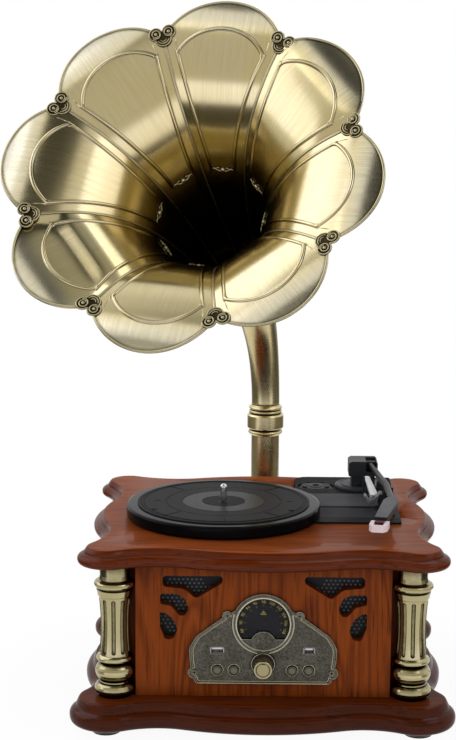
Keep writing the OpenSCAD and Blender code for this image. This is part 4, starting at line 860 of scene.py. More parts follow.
def petal_rows(flare):
    """Each row is a function of q that gives (a, u, raised)."""
    s = flare.s
    steps = s.steps
    rows = []
    for i in range(steps + 1):
        t = i / steps
        a = s.throat * (flare.shoulder / s.throat) ** (0.35 * t + 0.65 * t * t ** 0.25)
        height = s.bead * flare.bead_growth(a)
        rows.append(lambda q, a=a, height=height: (a, flare.across(a, q),
                                                   height * flare.side_bead(q)))

    def part_way(low, high, t):
        return low[0] + (high[0] - low[0]) * t, low[1] + (high[1] - low[1]) * t
    for t in (0.14, 0.28, 0.42, 0.56, 0.68, 0.8, 0.88, 0.95):

        def between(q, t=t):
            low = (flare.shoulder, flare.across(flare.shoulder, q))
            return (*part_way(low, flare.bead_row(-1, q), t), s.bead * flare.side_bead(q))
        rows.append(between)
    for i in range(9):
        t = -1 + i / 4

        def bead(q, t=t):
            a, u = flare.bead_row(t, q)
            if abs(q) <= flare.BEAD_MIDDLE:
                arched = math.sqrt(max(0.0, 1 - t * t))
                raised = max(arched, flare.side_bead(q) if t < 0 else 0.0)
            else:
                raised = math.sqrt(max(0.0, 1 - flare.bead_offset(q) ** 2 - max(0.0, t) ** 2))
            return a, u, s.bead * raised
        rows.append(bead)
    for t in (0.02, 0.05, 0.1, 0.18, 0.26, 0.34, 0.42, 0.5, 0.58, 0.66, 0.74, 0.81, 0.86, 0.9,
              0.935, 0.965, 1.0):

        def brim(q, t=t):
            return (*part_way(flare.bead_row(1, q), flare.rim_row(q), t), 0.0)
        rows.append(brim)
    return rows


def build_petal(number, flare):
    """One petal: a sheet with a front and a back, finer at its beads and its brim."""
    place = petal_place(number)
    columns = petal_columns()
    rows = petal_rows(flare)
    bm = bmesh.new()
    uv = bm.loops.layers.uv.new("Sheet")
    crease = bm.verts.layers.float.new("crease")
    spots = {}
    front, back = [], []
    for row in rows:
        line, under = [], []
        for q in columns:
            a, u, raised = row(q)
            for side, thick in ((line, 0.0), (under, flare.s.sheet)):
                spot = flare.point(a, u, raised, thick, BRIM_LEANS.get(number, 0.0))
                vertex = bm.verts.new(place @ spot)
                # The crease value darkens the brass: partly patina, partly painted shade
                vertex[crease] = crease_depth(flare, a, u, q)
                spots[vertex] = (u + number, a)
                side.append(vertex)
        front.append(line)
        back.append(under)
    last = len(columns) - 1
    for i in range(len(rows) - 1):
        for j in range(last):
            bm.faces.new((front[i][j], front[i][j + 1], front[i + 1][j + 1], front[i + 1][j]))
            bm.faces.new((back[i][j], back[i + 1][j], back[i + 1][j + 1], back[i][j + 1]))
        for j, turn in ((0, 1), (last, -1)):
            loop = (front[i][j], front[i + 1][j], back[i + 1][j], back[i][j])
            bm.faces.new(loop[::turn])
    for i, turn in ((0, 1), (len(rows) - 1, -1)):
        for j in range(last):
            loop = (front[i][j], back[i][j], back[i][j + 1], front[i][j + 1])
            bm.faces.new(loop[::turn])
    for face in bm.faces:
        for loop in face.loops:
            loop[uv].uv = spots[loop.vert]
    outwards(bm)
    obj = piece(f"petal_sheet_{number}", bm, "horn", "Brushed brass sheet")
    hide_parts(f"horn_petal_{number}")


def build_rim_wire(number, flare):
    """The rolled edge of one petal, from rosette to rosette."""
    place = petal_place(number)
    wire, steps = flare.s.wire, 56
    path = []
    for i in range(steps + 1):
        q = -1 + 2 * i / steps
        a, u = flare.arc(flare.rim_c, flare.rim_r - wire, flare.rim_angle * q * 0.995)
        path.append(place @ flare.point(a, u, -flare.s.sheet * 0.4))
    bm = bmesh.new()
    swept(bm, path, wire, 10, 1.0, horn_matrix().to_3x3() @ UP)
    outwards(bm)
    piece(f"rim_wire_{number}", bm, "horn", "Cast brass")


def build_seam(number, flare):
    """The folded seam between two petals, a low rounded rib along the corner line."""
    place = petal_place(number, 0.5)
    stretch, steps = 1 / math.cos(HALF_PETAL), 60
    path = []
    for i in range(steps + 1):
        a = flare.s.throat * (flare.ring_a / flare.s.throat) ** (i / steps)
        spot = flare.point(a, 0.0, 0.0002)
        path.append(place @ Vector((spot.x * stretch, 0.0, spot.z)))
    bm = bmesh.new()
    swept(bm, path, lambda t: 0.0008 + 0.0009 * t, 8, 0.62, horn_matrix().to_3x3() @ UP)
    outwards(bm)
    piece(f"petal_seam_{number}", bm, "horn", "Cast brass")


def spiral(x, y, start, turns, outer, inner, count, z):
    """Points of a spiral about (x, y), from the outer radius to the inner."""
    points = []
    for i in range(count + 1):
        t = i / count
        angle = start + 2 * math.pi * turns * t
        r = outer + (inner - outer) * t
        points.append(Vector((x + r * math.cos(angle), y + r * math.sin(angle), z)))
    return points


def lobed_outline(circles, grow, count):
    """Points round a union of circles (x, y, r) that share a middle, seen from that middle."""
    middle = sum((Vector(c[:2]) for c in circles), Vector((0, 0))) / len(circles)
    points = []
    for k in range(count):
        angle = 2 * math.pi * k / count
        way = Vector((math.cos(angle), math.sin(angle)))
        best = 0.0
        for x, y, r in circles:
            to = Vector((x, y)) - middle
            along = to.dot(way)
            inside = (r + grow) ** 2 - (to.length_squared - along ** 2)
            if inside > 0:
                best = max(best, along + math.sqrt(inside))
        points.append(middle + way * best)
    return points


# In millimetres: the three circles that a rosette's outline goes round, as x, y, radius, its
# steps, as growth and height, and the middle line of one leaf of a spray
ROSETTE_CIRCLES = ((-6.9, 2.6, 7.3), (6.9, 2.6, 7.3), (0.0, -3.4, 8.6))
ROSETTE_STEPS = ((-0.4, 0.0), (0.1, 0.9), (-0.4, 1.5), (-1.2, 1.3))
SPRAY_LEAF = ((1.0, -1.5, 1.4), (3.2, -2.2, 1.8), (5.6, -1.4, 1.9), (7.4, 0.4, 1.9),
              (9.4, 0.9, 1.8), (11.2, -0.4, 1.5), (11.8, -1.6, 1.2))


def rosette_shape(bm, place):
    """Two scrolls above a crescent, in a raised border, on a floor that holds patina."""
    patina = bm.verts.layers.float["patina"]
    up = place.to_3x3() @ UP

    def put(points):
        return [place @ (p * MM) for p in points]
    rings = []
    for grow, high in ROSETTE_STEPS:
        outline = lobed_outline(ROSETTE_CIRCLES, grow, 96)
        rings.append(put([Vector((p.x, p.y, high)) for p in outline]))
    for row in skin(bm, rings)[2:]:
        for vertex in row:
            vertex[patina] = 1.0
    border = [Vector((p.x, p.y, 1.5)) for p in lobed_outline(ROSETTE_CIRCLES, -0.7, 72)]
    swept(bm, put(border + border[:1]), 0.75 * MM, 8, 1.0, up)
    for hand in (-1, 1):
        eye = Vector((hand * 6.7, 2.5, 0))
        path = spiral(eye.x, eye.y, math.pi / 2 - hand * 2.4, -hand * 1.25, 5.0, 3.1, 40, 1.9)
        swept(bm, put(path), lambda t: (0.85 - 0.2 * t) * MM, 8, 1.0, up)
        turned(bm, scaled_profile((1.9, 1.0), (1.8, 2.3), (1.2, 2.9), (0.4, 3.1)), sides=16,
               matrix=place @ Matrix.Translation(eye * MM))
    for r, y, w in ((6.3, -2.6, 0.8), (3.3, -3.4, 0.6)):
        path = [Vector((r * math.cos(k), y + r * math.sin(k), 1.8))
                for k in [math.radians(200 + 140 * i / 24) for i in range(25)]]
        swept(bm, put(path), lambda t, w=w: w * (0.5 + 0.5 * math.sin(math.pi * t)) * MM, 8, 1.0, up)


def garland_shape(bm, place):
    """A small spray: two curled leaves that meet under a bud."""
    up = place.to_3x3() @ UP
    for hand in (-1, 1):
        leaf = [Vector((hand * x, y, z)) for x, y, z in SPRAY_LEAF]
        swept(bm, [place @ (p * MM) for p in leaf], lambda t: (1.15 - 0.65 * t) * MM, 8, 0.8, up)
        curl = spiral(hand * 4.6, 0.6, -math.pi / 2, hand * 0.8, 2.2, 0.9, 16, 1.8)
        swept(bm, [place @ (p * MM) for p in curl], lambda t: (0.8 - 0.3 * t) * MM, 6, 0.9, up)
    turned(bm, scaled_profile((2.6, 0), (2.8, 1.2), (2.2, 2.4), (0.9, 3.1)), sides=16,
           matrix=place @ Matrix.Translation(Vector((0, -1.2, 0)) * MM))


class GRAMOPHONE_OT_petals(bpy.types.Operator):
    """Makes the eight embossed petals, their rolled rims and the seams between them"""

    bl_idname = "gramophone.petals"
    bl_label = "Horn petals"

    def execute(self, context):
        flare = Flare()
        for number in range(1, PETALS + 1):
            build_petal(number, flare)
            build_rim_wire(number, flare)
            build_seam(number, flare)
        return {"FINISHED"}


class GRAMOPHONE_OT_ornaments(bpy.types.Operator):
    """Makes the cast rosettes on the seams and the small sprays at the foot of each bead"""

    bl_idname = "gramophone.ornaments"
    bl_label = "Rosettes and sprays"

    def execute(self, context):
        flare = Flare()
        bm = bmesh.new()
        bm.verts.layers.float.new("patina")
        high = flare.depth(flare.ring_a) + 0.0002
        tilt = math.atan(flare.slope(flare.GARLAND))
        upright = Matrix.Rotation(-math.pi / 2, 4, "Z")
        for k in range(PETALS):
            on_seam = petal_place(1 - k, 0.5) @ Matrix.Translation((flare.s.ring, 0, high))
            rosette_shape(bm, on_seam @ Matrix.Rotation(ROSETTE_TILT, 4, "Y") @ upright)
            foot = Matrix.Translation((flare.GARLAND, 0, flare.depth(flare.GARLAND)))
            garland_shape(bm, petal_place(1 - k) @ foot @ Matrix.Rotation(-tilt, 4, "Y") @ upright
                          @ Matrix.Translation((0, 0, -GARLAND_SUNK)))
        outwards(bm)
        obj = piece("cast_rosettes", bm, "horn", "Cast brass")
        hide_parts("horn_ornaments")
        return {"FINISHED"}


class GRAMOPHONE_OT_neck(bpy.types.Operator):
    """Makes the swelling bent neck, and finishes the pipe, the collar, the spigot and the ferrule"""

    bl_idname = "gramophone.neck"
    bl_label = "Neck and pipe"

    def execute(self, context):
        s = sizes()
        end = math.pi / 2 - s.elevation
        ahead = ahead_of_horn()
        aside = Vector((math.cos(s.turn), -math.sin(s.turn), 0))
        sides, steps, wall = 64, 60, 0.0015
        bm = bmesh.new()
        rows = []
        for inward in (0.0, wall):
            rings = []
            for k in range(steps + 1):
                t = end * k / steps
                r = s.neck_foot + s.neck_growth * (t / end) ** 2 - inward
                out = ahead * math.cos(t) - UP * math.sin(t)
                rings.append(ellipse(neck_point(t), aside * r, out * r, sides))
            rows.append(skin(bm, rings, caps=False))
        for k in (0, steps):
            for i in range(sides):
                j = (i + 1) % sides
                bm.faces.new((rows[0][k][i], rows[1][k][i], rows[1][k][j], rows[0][k][j]))
        outwards(bm)
        obj = piece("swelling_neck", bm, "horn", "Turned brass")
        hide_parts("gooseneck")
        dress("Turned brass", "stand_pipe", "pipe_collar", "neck_spigot", "horn_ferrule")
        return {"FINISHED"}


# Cabinet

def arc_points(centre, radius, start, stop, count):
    """Points of an arc from the angle start to the angle stop."""
    return [Vector((centre[0] + radius * math.cos(start + (stop - start) * i / count),
                    centre[1] + radius * math.sin(start + (stop - start) * i / count)))
            for i in range(count + 1)]


def board_outline(d):
    """The boards' outline, moved outwards by d, in millimetres."""
    lobe = Vector((154.0, 137.0))
    lobe_r, hollow_r = 29.3, 83.0
    far = Vector((179.0, 169.0))
    floor = Vector((166.0, 153.5))
    reach = lobe_r + hollow_r

    def along(a, b, level):
        return a - math.sqrt(reach ** 2 - (level + hollow_r - b) ** 2)

    side = Vector((floor.x + hollow_r, along(lobe.y, lobe.x, floor.x)))
    front = Vector((along(lobe.x, lobe.y, floor.y), floor.y + hollow_r))
    side_r = (side.y ** 2 + (side.x - far.x) ** 2 - hollow_r ** 2) / (2 * (far.x - floor.x))
    front_r = (front.x ** 2 + (front.y - far.y) ** 2 - hollow_r ** 2) / (2 * (far.y - floor.y))
    side_c, front_c = Vector((far.x - side_r, 0)), Vector((0, far.y - front_r))
    side_angle = math.atan2(side.y, side.x - side_c.x)
    lobe_from = math.atan2(side.y - lobe.y, side.x - lobe.x)
    lobe_to = math.atan2(front.y - lobe.y, front.x - lobe.x)
    front_angle = math.atan2(front.y - front_c.y, front.x)
    quarter = (arc_points(side_c, side_r + d, 0, side_angle, 14)[:-1]
               + arc_points(side, hollow_r - d, math.pi + side_angle, math.pi + lobe_from, 14)[:-1]
               + arc_points(lobe, lobe_r + d, lobe_from, lobe_to, 40)[:-1]
               + arc_points(front, hollow_r - d, math.pi + lobe_to, math.pi + front_angle, 14)[:-1]
               + arc_points(front_c, front_r + d, front_angle, math.pi / 2, 16))
    half = quarter[:-1] + [Vector((-p.x, p.y)) for p in reversed(quarter)]
    return half[:-1] + [-p for p in half[:-1]]


# The flat starts this far inside the outline, in millimetres
FLAT_INSET = 13
# The moulded edge, as (share of the board's height, millimetres out from the outline)
MOULDING = [
    (0.0, -4.5), (0.02, -3.2), (0.06, -1.6), (0.11, -0.5), (0.17, 0.3), (0.24, 0.7), (0.31, 0.8),
    (0.38, 0.75), (0.44, 0.4), (0.5, -0.3), (0.55, -1.3), (0.59, -2.5), (0.62, -3.8),
    (0.645, -5.2), (0.665, -6.0), (0.69, -6.3), (0.72, -6.1), (0.76, -6.2), (0.80, -6.6),
    (0.85, -7.2), (0.90, -7.8), (0.95, -8.5), (0.985, -9.2), (1.0, -10.0),
]


# Holes of the boards, as x, y, radius, from z, to z: for the cable, and in the top for the
# spindle, the motor's shaft, the tone arm, the adapter's recess and the speed switch
BASE_HOLES = [(0.0, 0.0, 0.012, 0.0, 0.05)]
TOP_HOLES = [(*SPINDLE, 0.008, 0.16, 0.2), (0.037, -0.015, 0.012, 0.16, 0.2),
             (0.107, 0.108, 0.010, 0.16, 0.2), (0.057, 0.106, 0.02055, 0.185, 0.2),
             (0.134, -0.016, 0.006, 0.186, 0.2)]


def build_board(name, node, z0, height, grow, material, holes):
    """A board with the moulding round it, and holes of (x, y, radius, from z, to z)."""
    def level(out, z):
        return [Vector((p.x * MM, p.y * MM, z)) for p in board_outline(out + grow)]
    bm = bmesh.new()
    edge = bm.verts.layers.float.new("edge")
    rings = [level(out, z0 + share * height) for share, out in MOULDING]
    rows = skin(bm, rings + [level(-FLAT_INSET, z0 + height)])
    for row in rows[:-2]:
        for vertex in row:
            vertex[edge] = 1.0
    obj = piece(name, bm, "cabinet", material)
    cutter = bmesh.new()
    for x, y, r, low, high in holes:
        turned(cutter, [(r, low), (r, high)], centre=(x, y, 0), sides=64)
    cutter = linked("cutter", closed_mesh("cutter", cutter))
    cut = obj.modifiers.new("Holes", "BOOLEAN")
    cut.object = cutter
    cut.solver = "EXACT"
    shape = final_mesh(obj)
    obj.modifiers.clear()
    obj.data = shape
    bpy.data.objects.remove(cutter)
    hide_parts(node)


DIAL_CENTRE = Vector((0.0, 0.1122))
DIAL_FACE = -0.1364
DIAL_NUMBERS = (88, 90, 92, 94, 96, 98, 100, 102, 104, 106, 108)
# Degrees of the first number, anticlockwise from the right, and of the whole scale
DIAL_FIRST, DIAL_SWEEP = 200, 220
NUMERAL_RADIUS, NUMERAL_SIZE = 0.0222, 0.0042
TICK_RADIUS, TICK_LENGTH, TICK_WIDTH = 0.0184, 0.0012, 0.00035
INK, PROUD = 0.0001, 0.00002
# The pointer's bars: height above the dial's middle, width, thickness
POINTER = ((0.0098, 0.0062, 0.0007), (0.0112, 0.0036, 0.0007), (0.0126, 0.0014, 0.0009))
PLATE_FACE = -0.1382
BUTTONS = ("button_source", "button_previous", "button_next", "button_pause")
# Screws of the plate, to the right of its middle: x and z in millimetres
SCREWS = ((68.4, 61.8), (35.8, 120.7))
SLOT_WIDTH, SLOT_LENGTH = 0.0006, 0.0026
# The card behind each grille: its middle, its side and its thickness
CARD_X, CARD_Z, CARD, CARD_THICKNESS = 0.078, 0.1265, 0.070, 0.0004


def dial_place(radius, degrees, y):
    """The matrix of a mark on the dial, with its foot towards the dial's middle."""
    turn = math.radians(degrees)
    spot = (DIAL_CENTRE.x + radius * math.cos(turn), y, DIAL_CENTRE.y + radius * math.sin(turn))
    return Matrix.Translation(spot) @ UPRIGHT @ turned_by(degrees - 90)


def add_bar(bm, matrix, width, length, height):
    """A small bar on its matrix's XY plane, a little narrower at the top."""
    rings = []
    for grow, z in ((0.0, 0.0), (0.0, height * 0.6), (-0.12, height)):
        x, y = width / 2 + grow * width, length / 2 + grow * width
        rings.append([matrix @ Vector(p) for p in ((-x, -y, z), (x, -y, z), (x, y, z), (-x, y, z))])
    skin(bm, rings)


def dial_numeral(number, degrees):
    """A numeral on the dial as a mesh."""
    letters = bpy.data.curves.new("numeral", "FONT")
    letters.body = str(number)
    letters.size = NUMERAL_SIZE
    letters.align_x = "CENTER"
    letters.align_y = "CENTER"
    letters.extrude = 0.00004
    letters.resolution_u = 3
    holder = linked("numeral", letters)
    mesh = final_mesh(holder)
    mesh.transform(dial_place(NUMERAL_RADIUS, degrees, DIAL_FACE - 3 * PROUD))
    bpy.data.objects.remove(holder)
    bpy.data.curves.remove(letters)
    return mesh


def build_dial_marks():
    """The dial's numbers, its ticks and the pointer's three bars."""
    bm = bmesh.new()
    step = DIAL_SWEEP / (len(DIAL_NUMBERS) - 1)
    for k, number in enumerate(DIAL_NUMBERS):
        mesh = dial_numeral(number, DIAL_FIRST - k * step)
        bm.from_mesh(mesh)
        bpy.data.meshes.remove(mesh)
    for k in range(len(DIAL_NUMBERS)):
        place = dial_place(TICK_RADIUS, DIAL_FIRST - k * step, DIAL_FACE + PROUD)
        add_bar(bm, place, TICK_WIDTH, TICK_LENGTH, INK)
    for high, wide, thick in POINTER:
        add_bar(bm, dial_place(high, 90, DIAL_FACE + PROUD), wide, thick, INK)
    piece("dial_marks", bm, "cabinet", "Dial ink", smooth=False)


def flat_outline(node, level):
    """The longest closed edge of a node's flat front face that lies at the given y."""
    bm = bmesh.new()
    bm.from_mesh(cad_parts[node].data)
    bmesh.ops.remove_doubles(bm, verts=bm.verts, dist=0.000005)
    faces = {face for face in bm.faces
             if face.normal.y < -0.99 and abs(face.calc_center_median().y - level) < 0.0001}
    edges = {edge for face in faces for edge in face.edges
             if sum(f in faces for f in edge.link_faces) == 1}
    best, best_length = [], 0.0
    while edges:
        edge = edges.pop()
        start, here = edge.verts
        loop, length = [start.co.copy()], edge.calc_length()
        while here != start:
            loop.append(here.co.copy())
            edge = next((e for e in here.link_edges if e in edges), None)
            if edge is None:
                break
            edges.remove(edge)
            length += edge.calc_length()
            here = edge.other_vert(here)
        if length > best_length:
            best, best_length = loop, length
    bm.free()
    return best


def even_points(loop, spacing):
    """The loop again, with points at equal distances."""
    closed = loop + loop[:1]
    lengths = [0.0]
    for a, b in zip(closed, closed[1:]):
        lengths.append(lengths[-1] + (b - a).length)
    count = max(8, round(lengths[-1] / spacing))
    points, i = [], 0
    for k in range(count):
        want = lengths[-1] * k / count
        while lengths[i + 1] < want:
            i += 1
        share = (want - lengths[i]) / max(1e-9, lengths[i + 1] - lengths[i])
        points.append(closed[i].lerp(closed[i + 1], share))
    return points


def build_plate_rim():
    """The raised wire inside the plate's edge."""
    inset, sunk, half_width, half_height, spacing = 0.0011, 0.0001, 0.00065, 0.00055, 0.0012
    loop = even_points(flat_outline("escutcheon", PLATE_FACE), spacing)
    middle = sum(loop, Vector()) / len(loop)
    count = len(loop)
    inner = []
    for k, point in enumerate(loop):
        ahead = (loop[(k + 2) % count] - loop[k - 2]).normalized()
        inward = Vector((-ahead.z, 0, ahead.x))
        if inward.dot(middle - point) < 0:
            inward = -inward
        inner.append(point + inward * inset - OUT * sunk)
    rings = []
    for k, centre in enumerate(inner):
        side = (inner[(k + 1) % count] - inner[k - 1]).normalized().cross(OUT).normalized()
        rings.append(ellipse(centre, side * half_width, OUT * half_height, 8))
    bm = bmesh.new()
    wire_loop(bm, rings)
    piece("plate_rim", bm, "cabinet", "Rim brass")


def ring_about(bm, centre, radius, wire, sides=48):
    """A wire ring in a plane across Y."""
    path = ellipse(centre, Vector((radius, 0, 0)), UP * radius, sides)
    wire_loop(bm, [ellipse(point, (point - centre).normalized() * wire, OUT * wire, 8)
                   for point in path])


def front_of(node):
    """Middle of a round node's front face, and its radius."""
    low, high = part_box(node)
    return Vector(((low.x + high.x) / 2, low.y, (low.z + high.z) / 2)), (high.x - low.x) / 2


# Rings that ride on round controls: the control, the ring's name, body, finish and slot, how far
# it sits behind the front and inside the edge, and its wire
TRIMS = [
    ("knob_collar", "collar_trim", "cabinet", "Bezel brass", "black_plastic", 0.0, 0.0006, 0.0004),
    ("volume_knob", "knob_trim", "knob", "Bezel brass", "antique_brass", 0.0005, 0.0009, 0.00045),
] + [
    # The buttons' dark rings are painted shadow
    (node, node + "_groove", node.split("_")[1] + "_button", "Groove metal", "button_metal",
     0.0001, 0.0013, 0.0003) for node in BUTTONS
]
# The plate's own rings stand this far off its face and off the buttons
BEZEL_OFF, BEZEL_GAP = 0.0001, 0.0011
BEZEL_WIRE, DIAL_WIRE, DIAL_RADIUS = 0.00045, 0.00055, 0.0272


def build_bezels():
    """The bright rings round the dial and the buttons, and those on the knob and its collar."""
    bm = bmesh.new()
    level = PLATE_FACE - BEZEL_OFF
    for node in BUTTONS:
        spot, radius = front_of(node)
        ring_about(bm, Vector((spot.x, level, spot.z)), radius + BEZEL_GAP, BEZEL_WIRE)
    ring_about(bm, Vector((DIAL_CENTRE.x, level, DIAL_CENTRE.y)), DIAL_RADIUS, DIAL_WIRE, 64)
    piece("plate_bezels", bm, "cabinet", "Bezel brass")
    for node, name, body, material, slot, behind, inside, wire in TRIMS:
        spot, radius = front_of(node)
        bm = bmesh.new()
        ring_about(bm, spot - OUT * behind, radius - inside, wire)
        piece(name, bm, body, material)


def build_screw_slots():
    """A dark cross on each of the plate's four screws: painted shade of their slots."""
    bm = bmesh.new()
    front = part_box("escutcheon_screws")[0].y
    for x, z in SCREWS:
        for side in (-1, 1):
            spot = Vector((side * x * MM, front + 2 * PROUD, z * MM))
            for turn in (20, 110):
                place = Matrix.Translation(spot) @ UPRIGHT @ turned_by(turn)
                add_bar(bm, place, SLOT_WIDTH, SLOT_LENGTH, INK)
    piece("screw_slots", bm, "cabinet", "Screw slot", smooth=False)


def build_grille_backing():
    """A stiff grey card close behind each perforated sheet, so that the holes show a little light."""
    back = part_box("speaker_grilles")[1].y
    for side, name in ((-1, "left"), (1, "right")):
        bm = bmesh.new()
        spot = Vector((side * CARD_X, back - 0.00005, CARD_Z))
        add_bar(bm, Matrix.Translation(spot) @ UPRIGHT, CARD, CARD, CARD_THICKNESS)
        piece(f"grille_backing_{name}", bm, "cabinet", "Grille backing", smooth=False)


class GRAMOPHONE_OT_boards(bpy.types.Operator):
    """Makes the two moulded boards, with their lobed outline and stained edge"""

    bl_idname = "gramophone.boards"
    bl_label = "Moulded boards"

    def execute(self, context):
        build_board("base_board", "base_plinth", 0.010, 0.0265, 9.0, "Base board wood", BASE_HOLES)
        build_board("top_board", "top_plate", 0.173, 0.018, 0.0, "Top board wood", TOP_HOLES)
        return {"FINISHED"}


class GRAMOPHONE_OT_cabinet(bpy.types.Operator):
    """Finishes the panels, the columns, the feet and the speakers"""

    bl_idname = "gramophone.cabinet"
    bl_label = "Cabinet"

    def execute(self, context):
        dress("Front wood", "front_panel", "back_panel", "side_panel_left", "side_panel_right")
        dress("Column brass", "column_front_left", "column_front_right", "column_rear_left",
              "column_rear_right", "feet")
        dress("Foot felt", "foot_pads")
        dress("Grille steel", "speaker_grilles")
        dress("Speaker basket", "speakers")
        build_grille_backing()
        return {"FINISHED"}


class GRAMOPHONE_OT_controls(bpy.types.Operator):
    """Finishes the plate on the front with its dial, knob, buttons and sockets"""

    bl_idname = "gramophone.controls"
    bl_label = "Controls"

    def execute(self, context):
        dress("Aged plate", "escutcheon")
        dress("Dark screw", "escutcheon_screws")
        dress("Knob brass", "volume_knob")
        dress("Button metal", *BUTTONS)
        dress("Black plastic", "knob_collar")
        dress("Bright steel", "usb_socket", "card_socket")
        dress("Dial face", "dial_plate")
        build_dial_marks()
        build_plate_rim()
        build_bezels()
        build_screw_slots()
        dress("Clear window", "dial_window")
        dress("Circuit board", "control_board", "amplifier_board")
        dress("Rear sockets", "rear_sockets")
        return {"FINISHED"}


# Marks on the mat: from the spindle, degrees, width, length
MAT_MARKS = (
    (0.0745, 46, 0.0015, 0.0235), (0.0745, 134, 0.0015, 0.0235), (0.0745, 226, 0.0015, 0.0235),
    (0.0745, 314, 0.0015, 0.0235), (0.0690, 0, 0.0015, 0.0065), (0.0690, 180, 0.0015, 0.0065),
    (0.0790, 92, 0.0017, 0.0060), (0.0822, 92, 0.0070, 0.0016), (0.0770, 272, 0.0017, 0.0050),
)
MAT_LEVEL, MAT_MARK_HEIGHT = 0.00003, 0.00022
MAT_RINGS, MAT_WIRE = (0.0835, 0.0865), 0.00030
# The mat's two dots: how far from the spindle, at which degrees, and their profile in millimetres
DOT_RADIUS, DOT_DEGREES = 0.080, (208, 332)
MAT_DOT = ((3.4, 0), (3.4, 0.2), (2.2, 0.3), (0.8, 0.1))
# The adapter's finger hollows: radius of the middle line, half width at the foot and at the top,
# levels of both, and where each hollow starts and how far it goes, in degrees
HOLLOW_RADIUS, HOLLOW_FOOT, HOLLOW_TOP = 0.0129, 0.0031, 0.0029
HOLLOW_LEVELS = (-0.00003, 0.00014)
HOLLOW_STARTS, HOLLOW_SWEEP, HOLLOW_STEPS = (-42, 138), 84, 14


def build_mat_marks():
    """The moulded lines and small marks on the mat, which lie a hair above it."""
    low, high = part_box("slip_mat")
    middle = (low + high) / 2
    top = Matrix.Translation((middle.x, middle.y, high.z - MAT_LEVEL))
    bm = bmesh.new()
    for radius, degrees, width, length in MAT_MARKS:
        place = top @ turned_by(degrees - 90) @ Matrix.Translation((0, radius, 0))
        add_bar(bm, place, width, length, MAT_MARK_HEIGHT)
    for radius in MAT_RINGS:
        centre = Vector((middle.x, middle.y, high.z))
        ring = ellipse(centre, Vector((radius, 0, 0)), Vector((0, radius, 0)), 96)
        swept(bm, ring + ring[:1], MAT_WIRE, 6)
    for degrees in DOT_DEGREES:
        spot = top @ turned_by(degrees) @ Matrix.Translation((DOT_RADIUS, 0, 0))
        turned(bm, scaled_profile(*MAT_DOT), sides=20, matrix=spot)
    piece("mat_marks", bm, "platter", "Mat marks", smooth=False)


def build_adapter_lobes():
    """The two finger hollows on the adapter, drawn as thin dark inlays: painted shade of the hollows.
    """
    low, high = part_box("adapter_45")
    middle = (low + high) / 2
    foot, top = HOLLOW_LEVELS
    section = ((-HOLLOW_FOOT, foot), (HOLLOW_FOOT, foot), (HOLLOW_TOP, top), (-HOLLOW_TOP, top))
    bm = bmesh.new()
    for start in HOLLOW_STARTS:
        rings = []
        for k in range(HOLLOW_STEPS + 1):
            turn = math.radians(start + HOLLOW_SWEEP * k / HOLLOW_STEPS)
            bulge = max(0.2, abs(math.sin(math.pi * k / HOLLOW_STEPS)) ** 0.4)
            away = Vector((math.cos(turn), math.sin(turn), 0))
            rings.append([Vector((middle.x, middle.y, high.z + z))
                          + away * (HOLLOW_RADIUS + out * bulge) for out, z in section])
        skin(bm, rings)
    outwards(bm)
    piece("adapter_lobes", bm, "adapter", "Adapter hollows", smooth=False)


class GRAMOPHONE_OT_deck(bpy.types.Operator):
    """Finishes the deck, the platter with its mat, the spindle and the adapter"""

    bl_idname = "gramophone.deck"
    bl_label = "Deck and platter"

    def execute(self, context):
        dress("Deck plastic", "deck_plate")
        dress("Platter plastic", "platter")
        dress("Mat rubber", "slip_mat")
        build_mat_marks()
        build_adapter_lobes()
        dress("Bright steel", "spindle", "motor")
        dress("Adapter grey", "adapter_45")
        dress("Pulley brass", "motor_pulley")
        dress("Belt rubber", "drive_belt")
        dress("Switch plastic", "speed_switch")
        return {"FINISHED"}


class GRAMOPHONE_OT_tonearm(bpy.types.Operator):
    """Finishes the tone arm, its rest, its clip and the cueing lever"""

    bl_idname = "gramophone.tonearm"
    bl_label = "Tone arm"

    def execute(self, context):
        dress("Black plastic", "tonearm_base", "tonearm_housing")
        dress("Arm grey", "tonearm", "arm_rest")
        dress("Cartridge red", "cartridge")
        dress("Guard white", "stylus_guard")
        dress("Clip grey", "arm_clip")
        dress("Lever white", "cue_lever")
        return {"FINISHED"}


# Stage

LOOKED_AT = Vector((-0.08, -0.02, 0.53))
WHITE = (1.0, 1.0, 1.0)
# Place, width, height, watts and shade of each lamp
LAMPS = {
    "left_softbox": ((-1.275, 0.19, 1.40), 1.7, 1.68, 10.2, (0.97, 1.0, 1.25)),
    "upper_softbox": ((-1.125, -0.930, 2.75), 0.70, 0.70, 1.80, WHITE),
    "right_softbox": ((1.02, -0.53, 1.41), 0.85, 0.65, 2.1, (0.96, 1.0, 1.28)),
    "rear_softbox": ((0.52, 0.47, 1.74), 0.65, 0.90, 2.3, WHITE),
}
FLOOR = ((-0.48, -0.66), (0.48, -0.66), (0.48, 0.80), (-0.48, 0.80))
CAMERA_PLACE = (0, -1.8499, 0.6760)
CAMERA_DIP, CAMERA_ROLL = 10.19, 0.56
CAMERA_LENS, CAMERA_SENSOR, CAMERA_SHIFT = 87.55, 36.0, -0.0512


def softbox(name, place, width, height, power, shade):
    """A soft lamp that points at the middle of the picture and isn't seen itself."""
    lamp = bpy.data.lights.new(name, "AREA")
    lamp.shape = "RECTANGLE"
    lamp.size = width
    lamp.size_y = height
    lamp.energy = power
    lamp.color = shade
    obj = linked(name, lamp)
    obj.location = place
    obj.rotation_euler = (LOOKED_AT - Vector(place)).to_track_quat("-Z", "Y").to_euler()
    obj.visible_camera = False


